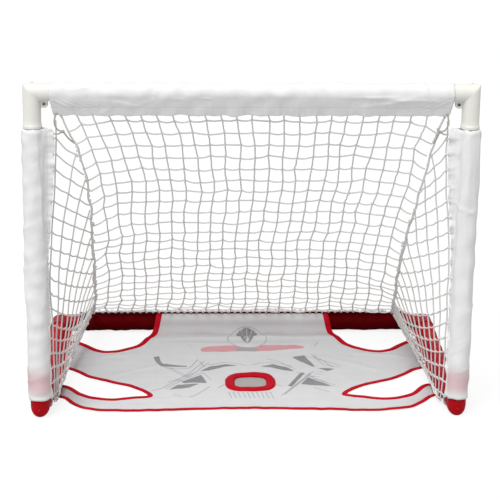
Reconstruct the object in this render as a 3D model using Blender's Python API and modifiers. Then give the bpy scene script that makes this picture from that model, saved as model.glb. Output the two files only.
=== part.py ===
"""Knock-down ball hockey goal: socketed plastic tube frame, cloth sleeves, netting and a hinged
cloth shooting target. Metres, +Z up, the mouth faces -Y, the origin is on the floor at the
centre of the goal's footprint."""

from math import acos, cos, pi, sin

import bmesh
import bpy
from mathutils import Matrix, Vector
from mathutils.geometry import interpolate_bezier

# Driving dimensions
HALF_SPAN = 0.5855
HEIGHT = 0.950
DEPTH = 0.660
TUBE_R = 0.0210
TUBE_WALL = 0.0025
TOP_FITTING_R = 0.0240
BASE_FITTING_R = 0.0265
SOCKET_PLAY = 0.0004
BUTT = 0.0010
GAP = 0.0003
CLOTH = 0.0008
BASE_Z = 0.0255
ARM = 0.098
SHORT_ARM = 0.064
BEAD = 0.0016
BEAD_WIDTH = 0.010
BUTTON_R = 0.0042
BUTTON_PROUD = 0.005
BUTTON_PLAY = 0.0005
BUTTON_SEAT = 0.0142
BUTTON_FLANGE = 0.0026
BUTTON_FLANGE_R = 0.0062
WEB_HOLE_IN = 0.0085
WEB_HOLE_R = 0.0028
WEB_HALF = 0.0025
WEB_NOSE_R = 0.0095
SIDES = 20

TOP_Z = HEIGHT - TOP_FITTING_R
FRONT_Y = -(DEPTH + BEAD - BUTTON_PROUD) / 2
REAR_Y = FRONT_Y + DEPTH
BORE_R = TUBE_R + SOCKET_PLAY
TUBE_START = 0.0080

# Sleeves: radius of the cloth tube, reach of its sewn flap from the tube's axis
TOP_SLEEVE_R = 0.0256
TOP_FLAP = 0.064
TOP_SLEEVE_HALF = 0.538
POST_SLEEVE_R = 0.0305
POST_FLAP = 0.057
POST_SLEEVE_LOW = 0.0535
POST_SLEEVE_HIGH = 0.818
BASE_SLEEVE_R = 0.0245
RAIL_FLAP = 0.043
REAR_FLAP = 0.040
FLAP_HALF = 0.0011

# Netting
NET_THICK = 0.0020
NET_TOP_Z = 0.858
NET_TOP_HALF = 0.514
NET_LOW_HALF = 0.478
NET_LOW_Z = 0.0680
NET_WAIST = 0.054
NET_DISH = 0.060
ROPE_R = 0.0020

# Shooting target, lying on the floor
CLOTH_Z = 0.0035
CLOTH_HALF = 0.0012
TAPE_WIDTH = 0.009
TAPE_HALF = 0.0017
HINGE_Y = FRONT_Y + 0.014
HOLE_X = 0.011
HOLE_Y = 0.2185
LIP_Y = 0.622
LIP_HALF_WIDTH = 0.268


def collection(name):
    made = bpy.data.collections.new(name)
    bpy.context.scene.collection.children.link(made)
    return made


def material(name, colour, roughness, metallic=0.0):
    made = bpy.data.materials.new(name)
    made.use_nodes = True
    shader = made.node_tree.nodes["Principled BSDF"]
    shader.inputs["Base Color"].default_value = (*colour, 1)
    shader.inputs["Roughness"].default_value = roughness
    shader.inputs["Metallic"].default_value = metallic
    return made


def place(thing, group):
    group.objects.link(thing)
    return thing


def finish(thing, name, finish_material):
    thing.name = name
    thing.data.name = name
    thing.data.materials.clear()
    thing.data.materials.append(finish_material)
    return thing


def frame_matrix(origin, along_x, along_z):
    """The placement whose local x and z run along the two given directions."""
    x, z = Vector(along_x).normalized(), Vector(along_z).normalized()
    y = z.cross(x)
    turn = Matrix((x, y, z)).transposed().to_4x4()
    return Matrix.Translation(Vector(origin)) @ turn


def evaluated_mesh(thing):
    """The object's evaluated mesh, welded, in world space. The object itself is removed."""
    bpy.context.view_layer.update()
    shape = bpy.data.meshes.new_from_object(thing.evaluated_get(bpy.context.evaluated_depsgraph_get()))
    shape.transform(thing.matrix_world)
    work = bmesh.new()
    work.from_mesh(shape)
    bmesh.ops.remove_doubles(work, verts=work.verts, dist=0.00001)
    work.to_mesh(shape)
    work.free()
    bpy.data.objects.remove(thing)
    return shape


def turned(profile, origin, axis, group, steps=SIDES):
    """A solid of revolution: (radius, height) points turned about the given axis."""
    outline = bpy.data.meshes.new("profile")
    closed = profile[0][0] > 0
    count = len(profile)
    edges = [(i, (i + 1) % count) for i in range(count if closed else count - 1)]
    outline.from_pydata([(r, 0, h) for r, h in profile], edges, [])
    thing = place(bpy.data.objects.new("turned", outline), group)
    across = (0, 1, 0) if abs(Vector(axis).normalized().x) > 0.5 else (1, 0, 0)
    thing.matrix_world = frame_matrix(origin, across, axis)
    screw = thing.modifiers.new("Turn", "SCREW")
    screw.steps = screw.render_steps = steps
    screw.use_merge_vertices = True
    screw.merge_threshold = 0.00001
    screw.use_smooth_shade = True
    return thing


def rod_profile(radius, low, high):
    return [(0, high), (radius, high), (radius, low), (0, low)]


def cutter(profile, origin, axis):
    thing = turned(profile, origin, axis, CUTTERS)
    shape = evaluated_mesh(thing)
    made = place(bpy.data.objects.new("cutter", shape), CUTTERS)
    made.hide_render = True
    made.display_type = "WIRE"
    return made


def boolean(thing, other, operation, solver="EXACT"):
    modifier = thing.modifiers.new(operation.title(), "BOOLEAN")
    modifier.operation = operation
    modifier.object = other
    modifier.solver = solver


def pipe(name, start, end, finish_material, holes=()):
    """A straight tube from start to end, with button holes given as (point, direction)."""
    start, end = Vector(start), Vector(end)
    length = (end - start).length
    inner = TUBE_R - TUBE_WALL
    ring = [(inner, 0), (inner, length), (TUBE_R, length), (TUBE_R, 0)]
    thing = turned(ring, start, end - start, PARTS)
    if holes:
        thing = place(bpy.data.objects.new("pipe", evaluated_mesh(thing)), PARTS)
        for point, direction in holes:
            boolean(thing, button_drill(point, direction), "DIFFERENCE")
    return finish(thing, name, finish_material)


def button_drill(point, direction):
    """The round hole that a snap button stands in."""
    return cutter(rod_profile(BUTTON_R + BUTTON_PLAY, 0.010, 0.050), point, direction)


def fitting_arm(corner, direction, other, radius, length, beaded):
    """One arm of an elbow, cut off at the mitre with the other arm. A bead may ring its mouth."""
    neck = length - BEAD_WIDTH
    bead = [(radius + BEAD, length), (radius + BEAD, neck), (radius, neck - BEAD)]
    mouth = bead if beaded else [(radius, length)]
    profile = [(0, length), *mouth, (radius, -2 * radius), (0, -2 * radius)]
    shape = evaluated_mesh(turned(profile, corner, direction, PARTS))
    work = bmesh.new()
    work.from_mesh(shape)
    bpy.data.meshes.remove(shape)
    everything = work.verts[:] + work.edges[:] + work.faces[:]
    normal = (Vector(direction) - Vector(other)).normalized()
    bmesh.ops.bisect_plane(work, geom=everything, plane_co=corner, plane_no=normal, clear_inner=True)
    return work


def elbow(name, corner, arms, radius, lengths, buttons, finish_material):
    """A two-socket fitting with a mitred heel; the first arm's tube runs across the second's. One off
    the floor has a pierced web in its inner corner and no bead on the arm that the sleeve covers; one
    on the floor has a flat underside."""
    corner = Vector(corner)
    first, second = (Vector(a) for a in arms)
    on_floor = corner.z < HEIGHT / 2
    shape = bpy.data.meshes.new(name)
    whole = bmesh.new()
    halves = ((first, second, lengths[0], on_floor), (second, first, lengths[1], True))
    for direction, other, length, beaded in halves:
        work = fitting_arm(corner, direction, other, radius, length, beaded)
        work.to_mesh(shape)
        work.free()
        whole.from_mesh(shape)
    bmesh.ops.remove_doubles(whole, verts=whole.verts, dist=0.00002)
    if on_floor:
        everything = whole.verts[:] + whole.edges[:] + whole.faces[:]
        cut = bmesh.ops.bisect_plane(whole, geom=everything, plane_no=(0, 0, 1), clear_inner=True)
        rim = [part for part in cut["geom_cut"] if isinstance(part, bmesh.types.BMEdge)]
        bmesh.ops.edgeloop_fill(whole, edges=rim)
    bmesh.ops.recalc_face_normals(whole, faces=whole.faces)
    whole.to_mesh(shape)
    whole.free()
    thing = place(bpy.data.objects.new(name, shape), PARTS)
    if not on_floor:
        boolean(thing, corner_web(corner, first, second, radius), "UNION")
    through = rod_profile(BORE_R, -TUBE_START, lengths[0] + 0.02)
    branch = rod_profile(BORE_R + 0.0001, 0, lengths[1] + 0.02)
    for bore, direction in ((through, first), (branch, second)):
        boolean(thing, cutter(bore, corner, direction), "DIFFERENCE", "MANIFOLD")
    for direction in buttons:
        boolean(thing, button_drill(corner, direction), "DIFFERENCE")
    if not on_floor:
        pierced = corner + (first + second) * (radius + WEB_HOLE_IN)
        drill = cutter(rod_profile(WEB_HOLE_R, -0.02, 0.02), pierced, first.cross(second))
        boolean(thing, drill, "DIFFERENCE")
    return finish(thing, name, finish_material)


def corner_web(corner, first, second, radius):
    """The triangular plate in the inner corner of an elbow, 5 mm thick, with a round outer end."""
    reach = radius + 0.026
    nook = radius - 0.008
    data = bpy.data.curves.new("web", "CURVE")
    data.dimensions = "2D"
    data.fill_mode = "BOTH"
    data.extrude = WEB_HALF
    centre = radius + WEB_HOLE_IN
    turns = (-0.5, 0, 0.4, 0.785, 1.17, 1.57, 2.07)
    arc = [(centre + WEB_NOSE_R * cos(a), centre + WEB_NOSE_R * sin(a)) for a in turns]
    outline = [(nook, nook), (reach, nook), *arc, (nook, reach)]
    spline = data.splines.new("POLY")
    spline.points.add(len(outline) - 1)
    for point, (x, y) in zip(spline.points, outline):
        point.co = (x, y, 0, 1)
    spline.use_cyclic_u = True
    guide = place(bpy.data.objects.new("web", data), CUTTERS)
    guide.matrix_world = frame_matrix(corner, first, first.cross(second))
    made = place(bpy.data.objects.new("web", evaluated_mesh(guide)), CUTTERS)
    made.hide_render = True
    made.display_type = "WIRE"
    return made


def flat_curve(name, loops, half_thickness, placement, finish_material):
    """A flat outline, with any holes, as a plate of the given half thickness."""
    data = bpy.data.curves.new(name, "CURVE")
    data.dimensions = "2D"
    data.fill_mode = "BOTH"
    data.extrude = half_thickness
    data.resolution_u = 1
    data.render_resolution_u = 0
    for loop in loops:
        spline = data.splines.new("POLY")
        spline.points.add(len(loop) - 1)
        for point, (x, y) in zip(spline.points, loop):
            point.co = (x, y, 0, 1)
        spline.use_cyclic_u = True
    thing = place(bpy.data.objects.new(name, data), PARTS)
    thing.matrix_world = placement
    return finish(thing, name, finish_material)


def circle(radius, count=SIDES):
    return [(radius * cos(2 * pi * i / count), radius * sin(2 * pi * i / count)) for i in range(count)]


def teardrop(radius, flap):
    """A round cloth tube whose two edges meet in a sewn flap along local +x."""
    start = acos(radius / flap)
    turns = [start + (2 * pi - 2 * start) * i / SIDES for i in range(SIDES + 1)]
    arc = [(radius * cos(a), radius * sin(a)) for a in turns]
    return [*arc, (flap, -FLAP_HALF), (flap, FLAP_HALF)]


def sleeve(name, start, end, flap_direction, radius, flap, finish_material):
    start, end = Vector(start), Vector(end)
    placement = frame_matrix((start + end) / 2, flap_direction, end - start)
    loops = [teardrop(radius, flap), circle(radius - CLOTH)]
    return flat_curve(name, loops, (end - start).length / 2, placement, finish_material)


def rope(name, points, finish_material, radius=ROPE_R):
    data = bpy.data.curves.new(name, "CURVE")
    data.dimensions = "3D"
    data.bevel_depth = radius
    data.bevel_resolution = 2
    data.use_fill_caps = True
    data.resolution_u = 1
    data.render_resolution_u = 0
    spline = data.splines.new("POLY")
    spline.points.add(len(points) - 1)
    for point, place_at in zip(spline.points, points):
        point.co = (*place_at, 1)
    return finish(place(bpy.data.objects.new(name, data), PARTS), name, finish_material)


def profile_point(t):
    """The net's sagging side line: distance behind the mouth, and height, from top (0) to base (1)."""
    drop = NET_TOP_Z - NET_LOW_Z
    run = DEPTH - 0.026
    steep = Vector((0.454, -0.891, 0)) * 0.40
    shallow = Vector((0.875, -0.485, 0)) * 0.30
    top, base = Vector((0, drop, 0)), Vector((run, 0, 0))
    knots = 64
    line = interpolate_bezier(top, top + steep, base - shallow, base, knots + 1)
    step = min(int(t * knots), knots - 1)
    here = line[step].lerp(line[step + 1], t * knots - step)
    return here.x + 0.008, here.y + NET_LOW_Z


def half_width(t):
    """Half the back net's width, which draws in quickly to a waist in the upper half."""
    early = t ** 0.75
    return NET_TOP_HALF + (NET_LOW_HALF - NET_TOP_HALF) * t - NET_WAIST * 4 * early * (1 - early)


def back_surface(u, t):
    """The back net: u runs from -1 to 1 across the goal, t from the crossbar down to the rear bar."""
    behind, height = profile_point(t)
    behind -= NET_DISH * abs(u) ** 4 * max(0.0, sin(pi * t)) ** 0.7
    return Vector((u * half_width(t), FRONT_Y + behind, height))


def side_surface(side, q, t):
    """A side net: q runs from the post (0) back to the seam (1), t from the top corner down."""
    post = Vector((side * (0.5370 + 0.003 * t), FRONT_Y + 0.0115 + 0.026 * t ** 6, 0.846 - 0.824 * t))
    seam = back_surface(side, t)
    seam.x += side * (0.003 + 0.002 * t)
    point = post.lerp(seam, q)
    spread = max(0.0, sin(pi * q)) ** 0.6 * t ** 6
    point.x += side * 0.016 * spread
    point.z -= 0.012 * spread
    return point


def net_panel(name, surface, columns, rows, finish_material):
    """A grid bent onto the given surface and thickened."""
    work = bmesh.new()
    bmesh.ops.create_grid(work, x_segments=columns, y_segments=rows, size=0.5)
    for vertex in work.verts:
        vertex.co = surface(vertex.co.x + 0.5, 0.5 - vertex.co.y)
    shape = bpy.data.meshes.new(name)
    work.to_mesh(shape)
    work.free()
    thing = place(bpy.data.objects.new(name, shape), PARTS)
    wall = thing.modifiers.new("Thickness", "SOLIDIFY")
    wall.thickness = NET_THICK
    wall.offset = 0
    return finish(thing, name, finish_material)


def offset_line(points, distance):
    """An open line moved sideways, to its right, by the given distance."""
    moved = []
    last = len(points) - 1
    for i, point in enumerate(points):
        ahead = Vector(points[min(i + 1, last)])
        behind = Vector(points[max(i - 1, 0)])
        run = (ahead - behind).normalized()
        moved.append((point[0] + run.y * distance, point[1] - run.x * distance))
    return moved


def smooth_line(knots, pieces=3):
    """A smooth curve through the given knots (Catmull-Rom), open."""
    ends = [knots[0], *knots, knots[-1]]
    line = []
    for i in range(len(knots) - 1):
        a, b, c, d = (Vector(p) for p in ends[i : i + 4])
        for k in range(pieces):
            s = k / pieces
            point = b + 0.5 * s * ((c - a) + s * (2 * a - 5 * b + 4 * c - d + s * (3 * (b - c) + d - a)))
            line.append((point.x, point.y))
    return [*line, tuple(knots[-1])]


def mirrored(line):
    return [(-x, y) for x, y in reversed(line)]


def tape(name, line, finish_material, low=GAP, high=TAPE_WIDTH):
    """Binding tape along the outside (the right-hand side) of a stretch of the cloth's edge."""
    loop = [*offset_line(line, low), *reversed(offset_line(line, high))]
    placement = Matrix.Translation((0, FRONT_Y, CLOTH_Z))
    thing = flat_curve(name, [loop], TAPE_HALF, placement, finish_material)
    thing.data.transform(Matrix.Translation((0, FRONT_Y - HINGE_Y, 0)))
    return hang(thing)


def hang(thing):
    """Ties a target piece to the hinge line, without moving it."""
    thing.matrix_world = Matrix.Identity(4)
    thing.parent = HINGE
    return thing


def make_frame():
    """The six socketed fittings and the six tubes between them."""
    for side, word in ((-1, "left"), (1, "right")):
        x = side * HALF_SPAN
        inward, down, up, back = (-side, 0, 0), (0, 0, -1), (0, 0, 1), (0, 1, 0)
        top, foot, rear = (x, FRONT_Y, TOP_Z), (x, FRONT_Y, BASE_Z), (x, REAR_Y, BASE_Z)
        ahead = (0, -1, 0)
        tall, level = (ARM, SHORT_ARM), (SHORT_ARM, SHORT_ARM)
        elbow(f"{word}_top_elbow", top, (inward, down), TOP_FITTING_R, tall[::-1], [up], WHITE_FITTING)
        elbow(f"{word}_foot_elbow", foot, (up, back), BASE_FITTING_R, tall, [ahead], RED_FITTING)
        elbow(f"{word}_rear_elbow", rear, (inward, ahead), BASE_FITTING_R, level, [], RED_FITTING)
        low = (x, FRONT_Y, BASE_Z - TUBE_START + GAP)
        high = (x, FRONT_Y, TOP_Z - TUBE_R - BUTT)
        pipe(f"{word}_post_tube", low, high, TUBE, [(foot, ahead)])
        rail = [(x, FRONT_Y + TUBE_R + BUTT, BASE_Z), (x, REAR_Y - TUBE_R - BUTT, BASE_Z)]
        pipe(f"{word}_rail_tube", *rail, TUBE)
    reach = HALF_SPAN + TUBE_START - GAP
    tops = [((side * HALF_SPAN, FRONT_Y, TOP_Z), (0, 0, 1)) for side in (-1, 1)]
    pipe("crossbar_tube", (-reach, FRONT_Y, TOP_Z), (reach, FRONT_Y, TOP_Z), TUBE, tops)
    pipe("rear_bar_tube", (-reach, REAR_Y, BASE_Z), (reach, REAR_Y, BASE_Z), TUBE)


def make_sleeves():
    """The cloth sleeves, each with a sewn flap that the net is laced to."""
    crossbar = [(side * TOP_SLEEVE_HALF, FRONT_Y, TOP_Z - 0.0004) for side in (-1, 1)]
    sleeve("crossbar_sleeve", *crossbar, (0, 0, -1), TOP_SLEEVE_R, TOP_FLAP, WHITE_NYLON)
    for side, word in ((-1, "left"), (1, "right")):
        x = side * HALF_SPAN
        post = [(x, FRONT_Y, POST_SLEEVE_LOW), (x, FRONT_Y, POST_SLEEVE_HIGH)]
        sleeve(f"{word}_post_sleeve", *post, (-side, 0, 0), POST_SLEEVE_R, POST_FLAP, WHITE_NYLON)
        reach = SHORT_ARM + 0.001
        rail = [(x, FRONT_Y + reach, BASE_Z), (x, REAR_Y - reach, BASE_Z)]
        sleeve(f"{word}_rail_sleeve", *rail, (-side * 0.985, 0, -0.174), BASE_SLEEVE_R, RAIL_FLAP, RED_NYLON)
    half = HALF_SPAN - SHORT_ARM - 0.001
    bar = [(-half, REAR_Y, BASE_Z), (half, REAR_Y, BASE_Z)]
    sleeve("rear_bar_sleeve", *bar, (0, -0.174, 0.985), BASE_SLEEVE_R, REAR_FLAP, RED_NYLON)


def make_nets():
    """The netting in three panels, and the ropes that lace it to the base."""
    net_panel("net_back", lambda u, t: back_surface(2 * u - 1, t), 16, 12, NETTING)
    for side, word in ((-1, "left"), (1, "right")):
        net_panel(f"net_{word}", lambda q, t, s=side: side_surface(s, q, 0.012 + 0.988 * t), 7, 12, NETTING)
        aside = Vector((side * 0.0035, 0, 0.0030))
        line = [side_surface(side, q / 16, 1) - aside for q in range(1, 15)]
        rope(f"{word}_rail_rope", line, CORD)
    line = [back_surface(-0.97 + 1.94 * i / 12, 1) + Vector((0, 0.0045, 0.0005)) for i in range(13)]
    rope("rear_rope", line, CORD)


def make_ties():
    """The cords round the front of each rail, and from each end of the crossbar's flap to the net."""
    for side, word in ((-1, "left"), (1, "right")):
        x = side * HALF_SPAN
        round_it = BASE_FITTING_R + ROPE_R + 2 * GAP
        angles = [-0.70 + 3.1 * i / 12 for i in range(13)]
        ring_y = FRONT_Y + 0.042
        over = [(x - side * round_it * cos(a), ring_y, BASE_Z + round_it * sin(a)) for a in angles]
        rope(f"{word}_foot_tie", over, CORD)
        hem = -(ROPE_R + 3 * FLAP_HALF)
        route = [(0.5210, hem, 0.8645), (0.5250, hem, 0.8570), (0.5270, hem, 0.8480), (0.5265, hem / 2, 0.8390),
                 (0.5185, hem / 3, 0.8280), (0.5050, 0.0020, 0.8210)]
        rope(f"{word}_corner_tie", [(side * x, FRONT_Y + y, z) for x, y, z in route], CORD)


def make_snap_clip(word, place_word, corner, outward, along):
    """A spring clip inside a tube's end: a domed button on a V-shaped leaf."""
    reach = (TOP_FITTING_R if place_word == "crossbar" else BASE_FITTING_R) + BUTTON_PROUD
    pivot = bpy.data.objects.new(f"{word}_{place_word}_pivot", None)
    PARTS.objects.link(pivot)
    pivot.location = corner
    seat = BUTTON_SEAT
    ledge = seat + BUTTON_FLANGE
    turns = (0, 0.4, 0.8, 1.2, pi / 2)
    dome = [(BUTTON_R * sin(a), reach - BUTTON_R * 0.55 * (1 - cos(a))) for a in turns]
    profile = [*dome, (BUTTON_R, ledge), (BUTTON_FLANGE_R, ledge), (BUTTON_FLANGE_R, seat), (0, seat)]
    button = turned(profile, corner, outward, PARTS, 16)
    colour = WHITE_BUTTON if place_word == "crossbar" else RED_BUTTON
    finish(button, f"{word}_{place_word}_button", colour)
    top = seat - GAP
    outline = [
        (-0.006, top),
        (-0.006, top - 0.0009),
        (0.0065, top - 0.0009),
        (0.0385, 0.0013),
        (-0.006, -0.0105),
        (-0.006, -0.0115),
        (0.0405, 0.0003),
        (0.0415, 0.0016),
        (0.007, top),
    ]
    placement = frame_matrix(corner, along, Vector(along).cross(Vector(outward)))
    leaf = flat_curve(f"{word}_{place_word}_spring", [outline], 0.004, placement, SPRING_STEEL)
    bpy.context.view_layer.update()
    for piece in (button, leaf):
        world = piece.matrix_world.copy()
        piece.parent = pivot
        piece.matrix_world = world


def make_snap_clips():
    for side, word in ((-1, "left"), (1, "right")):
        x = side * HALF_SPAN
        make_snap_clip(word, "crossbar", (x, FRONT_Y, TOP_Z), (0, 0, 1), (-side, 0, 0))
        make_snap_clip(word, "foot", (x, FRONT_Y, BASE_Z), (0, -1, 0), (0, 0, 1))


def make_target():
    """The cloth target on the floor: five taped edges, a centre hole, and a band at its far end."""
    front = smooth_line([(0, 0.0345), (0.12, 0.0350), (0.26, 0.0260), (0.39, 0.0240), (0.452, 0.0360),
                         (0.492, 0.0700), (0.520, 0.1080), (0.543, 0.1260)])
    notch = smooth_line([(0.543, 0.1930), (0.525, 0.1820), (0.487, 0.1300), (0.443, 0.1010),
                         (0.385, 0.0930), (0.330, 0.1070), (0.288, 0.1130), (0.277, 0.1260),
                         (0.290, 0.1540), (0.340, 0.2000), (0.400, 0.2320), (0.460, 0.2700),
                         (0.506, 0.3180), (0.543, 0.3400)])
    corner = smooth_line([(0.543, 0.5380), (0.525, 0.5340), (0.490, 0.5000), (0.455, 0.4660),
                          (0.410, 0.4560), (0.360, 0.4780), (0.318, 0.5160), (0.296, 0.5700),
                          (LIP_HALF_WIDTH + 0.006, LIP_Y)])
    right_half = [*front, *notch, *corner]
    left_half = mirrored(right_half)
    outline = [*right_half, *left_half[:-1]]
    turns = [2 * pi * i / 24 for i in range(24)]
    squared = [(round_off(cos(a)), round_off(sin(a))) for a in turns]
    hole = [(HOLE_X + 0.0660 * x, HOLE_Y + 0.0600 * y) for x, y in squared]
    inner = [(HOLE_X + 0.0540 * x, HOLE_Y + 0.0420 * y) for x, y in squared]
    rim = [(HOLE_X + 0.0656 * x, HOLE_Y + 0.0596 * y) for x, y in squared]
    placement = Matrix.Translation((0, FRONT_Y, CLOTH_Z))
    panel = flat_curve("target_panel", [outline, hole], CLOTH_HALF, placement, TARGET_CLOTH)
    panel.data.transform(Matrix.Translation((0, FRONT_Y - HINGE_Y, 0)))
    hang(panel)
    ring = flat_curve("target_centre_binding", [rim, inner], TAPE_HALF, placement, RED_TAPE)
    ring.data.transform(Matrix.Translation((0, FRONT_Y - HINGE_Y, 0)))
    hang(ring)
    tape("target_front_binding", [*mirrored(front)[:-1], *front], RED_TAPE)
    tape("target_right_notch_binding", notch, RED_TAPE)
    tape("target_left_notch_binding", mirrored(notch), RED_TAPE)
    tape("target_right_corner_binding", corner[:-1], RED_TAPE)
    tape("target_left_corner_binding", mirrored(corner)[1:], RED_TAPE)
    band = [(0, 0), (0.006, 0.0010), (0.0085, 0.012), (0.0085, 0.030), (0.0135, 0.046), (0.0115, 0.0468),
            (0.0062, 0.030), (0.0062, 0.0130), (0.0045, 0.0024), (0, 0.0024)]
    edge = Vector((0, FRONT_Y + LIP_Y + GAP, CLOTH_Z - CLOTH_HALF))
    placement = frame_matrix(edge, (0, 1, 0), (1, 0, 0))
    lip = flat_curve("target_top_band", [band], LIP_HALF_WIDTH, placement, TARGET_CLOTH)
    bpy.context.view_layer.update()
    lip.parent = HINGE
    lip.matrix_parent_inverse = Matrix.Translation(-Vector(HINGE.location))


def round_off(value):
    """Squares up a circle's sine or cosine a little, so that the loop is a rounded box."""
    return (1 if value > 0 else -1) * abs(value) ** 0.7


for old in list(bpy.data.objects):
    bpy.data.objects.remove(old)
PARTS = collection("hockey_goal")
CUTTERS = collection("cutters")
WHITE_FITTING = material("white_fitting", (0.80, 0.80, 0.75), 0.35)
RED_FITTING = material("red_fitting", (0.47, 0.006, 0.012), 0.35)
TUBE = material("tube", (0.78, 0.78, 0.76), 0.45)
WHITE_NYLON = material("white_nylon", (0.85, 0.85, 0.86), 0.6)
RED_NYLON = material("red_nylon", (0.42, 0.004, 0.014), 0.55)
NETTING = material("netting", (0.82, 0.82, 0.80), 0.8)
CORD = material("cord", (0.80, 0.78, 0.76), 0.8)
TARGET_CLOTH = material("target_cloth", (0.78, 0.78, 0.80), 0.65)
RED_TAPE = material("red_tape", (0.50, 0.006, 0.020), 0.6)
SPRING_STEEL = material("spring_steel", (0.55, 0.55, 0.57), 0.3, 1.0)
WHITE_BUTTON = material("white_button", (0.78, 0.78, 0.73), 0.35)
RED_BUTTON = material("red_button", (0.55, 0.02, 0.03), 0.35)
HINGE = bpy.data.objects.new("target_hinge", None)
PARTS.objects.link(HINGE)
HINGE.location = (0, HINGE_Y, CLOTH_Z)
make_frame()
make_sleeves()
make_nets()
make_ties()
make_snap_clips()
make_target()
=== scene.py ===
"""Looks of a knock-down ball hockey goal: smooth fittings, creased sleeves, knotted netting, cords
and a printed shooting target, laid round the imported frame. Metres, +Z up, the mouth faces -Y."""

import bmesh
import bpy
import numpy as np
from bpy.props import FloatProperty, FloatVectorProperty, IntProperty, PointerProperty
from bpy.types import Operator, Panel, PropertyGroup
from mathutils import Matrix, Vector


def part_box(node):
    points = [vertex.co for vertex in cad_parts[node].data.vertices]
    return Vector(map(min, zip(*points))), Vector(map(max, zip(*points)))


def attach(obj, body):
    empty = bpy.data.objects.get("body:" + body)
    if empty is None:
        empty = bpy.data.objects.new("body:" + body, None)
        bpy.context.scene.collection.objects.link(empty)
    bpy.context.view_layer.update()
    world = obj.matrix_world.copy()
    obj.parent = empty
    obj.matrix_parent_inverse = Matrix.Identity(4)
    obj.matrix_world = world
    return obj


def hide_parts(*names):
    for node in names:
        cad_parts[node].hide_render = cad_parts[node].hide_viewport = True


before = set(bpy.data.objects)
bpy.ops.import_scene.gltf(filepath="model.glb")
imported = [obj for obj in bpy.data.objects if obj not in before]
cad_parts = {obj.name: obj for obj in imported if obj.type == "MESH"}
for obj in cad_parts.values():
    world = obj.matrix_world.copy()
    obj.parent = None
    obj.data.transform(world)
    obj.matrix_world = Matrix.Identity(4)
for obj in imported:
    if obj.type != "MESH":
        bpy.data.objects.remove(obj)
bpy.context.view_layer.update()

bl_info = {
    "name": "Ball hockey goal",
    "version": (1, 0, 0),
    "blender": (4, 5, 0),
    "location": "3D View > Sidebar > Goal",
    "description": "Builds the cloth, netting, cords and fittings of a ball hockey goal",
    "category": "Add Mesh",
}

SIDES = ((-1, "left"), (1, "right"))
TURN = 2 * np.pi


def middle(node):
    low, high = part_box(node)
    return (low + high) / 2


# Places read from the frame
HALF_SPAN = middle("right_rail_tube").x
FRONT_Y = middle("crossbar_tube").y
REAR_Y = middle("rear_bar_tube").y
TOP_Z = middle("crossbar_tube").z
BASE_Z = middle("rear_bar_tube").z
TUBE_R = (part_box("rear_bar_tube")[1].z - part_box("rear_bar_tube")[0].z) / 2
DEPTH = REAR_Y - FRONT_Y

# Fittings, as the frame has them
TOP_FITTING_R = 0.0240
BASE_FITTING_R = 0.0265
ARM = 0.098
SHORT_ARM = 0.064
BORE_R = TUBE_R + 0.0004
BEAD = 0.0016
BEAD_WIDTH = 0.010
WEB_HOLE_IN = 0.0085
WEB_HOLE_R = 0.0028
BUTTON_R = 0.0042
BUTTON_PROUD = 0.005

# Netting panels, as the frame has them
NET_TOP_Z = 0.858
NET_LOW_Z = 0.068
NET_TOP_HALF = 0.514
NET_LOW_HALF = 0.478
NET_WAIST = 0.054
NET_DISH = 0.060
HEM_Z = TOP_Z - 0.064
POST_FLAP = 0.057
POST_SLEEVE_R = 0.0305
POST_SLEEVE_LOW = 0.0535

# Sewing and lacing
CLOTH_THICKNESS = 0.0007
STITCH_PITCH = 0.004
STITCH_IN = 0.0045
STITCH_HALF_WIDTH = 0.0006
REAR_LACES = 46
RAIL_LACES = 12
RAIL_HEM_X = 0.5435
RAIL_HEM_Z = 0.0195

# Shooting target
LIP_START = 0.585
HOLE_X = 0.011
HOLE_Y = 0.2185
LIP_Y = 0.622
LIP_END = 0.688
LIP_HALF_WIDTH = 0.268


class GoalSizes(PropertyGroup):
    """Sizes that change the finish, not the frame."""

    net_cord: FloatProperty(name="Net cord", description="Diameter of the netting cord",
                            default=0.0044, unit="LENGTH")
    net_mesh: FloatProperty(name="Net mesh", description="Side of one square of the netting",
                            default=0.0440, unit="LENGTH")
    net_columns: IntProperty(name="Net columns", description="Squares across the back net", default=24)
    rope: FloatProperty(name="Rope", description="Diameter of the border rope", default=0.0046, unit="LENGTH")
    tape: FloatProperty(name="Binding", description="Width of the binding tape",
                        default=0.0140, unit="LENGTH")
    crease: FloatProperty(name="Crease", description="Height of the creases in the sleeves",
                          default=0.0030, unit="LENGTH")
    weave: FloatProperty(name="Weave", description="Distance between the cloth's threads",
                         default=0.0009, unit="LENGTH")
    target_cell: FloatProperty(name="Target cell", description="Grid size of the target's mesh",
                               default=0.0036, unit="LENGTH")


def colour(name, description, value):
    return FloatVectorProperty(name=name, description=description, subtype="COLOR", size=3,
                               min=0, max=1, default=value)


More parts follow.
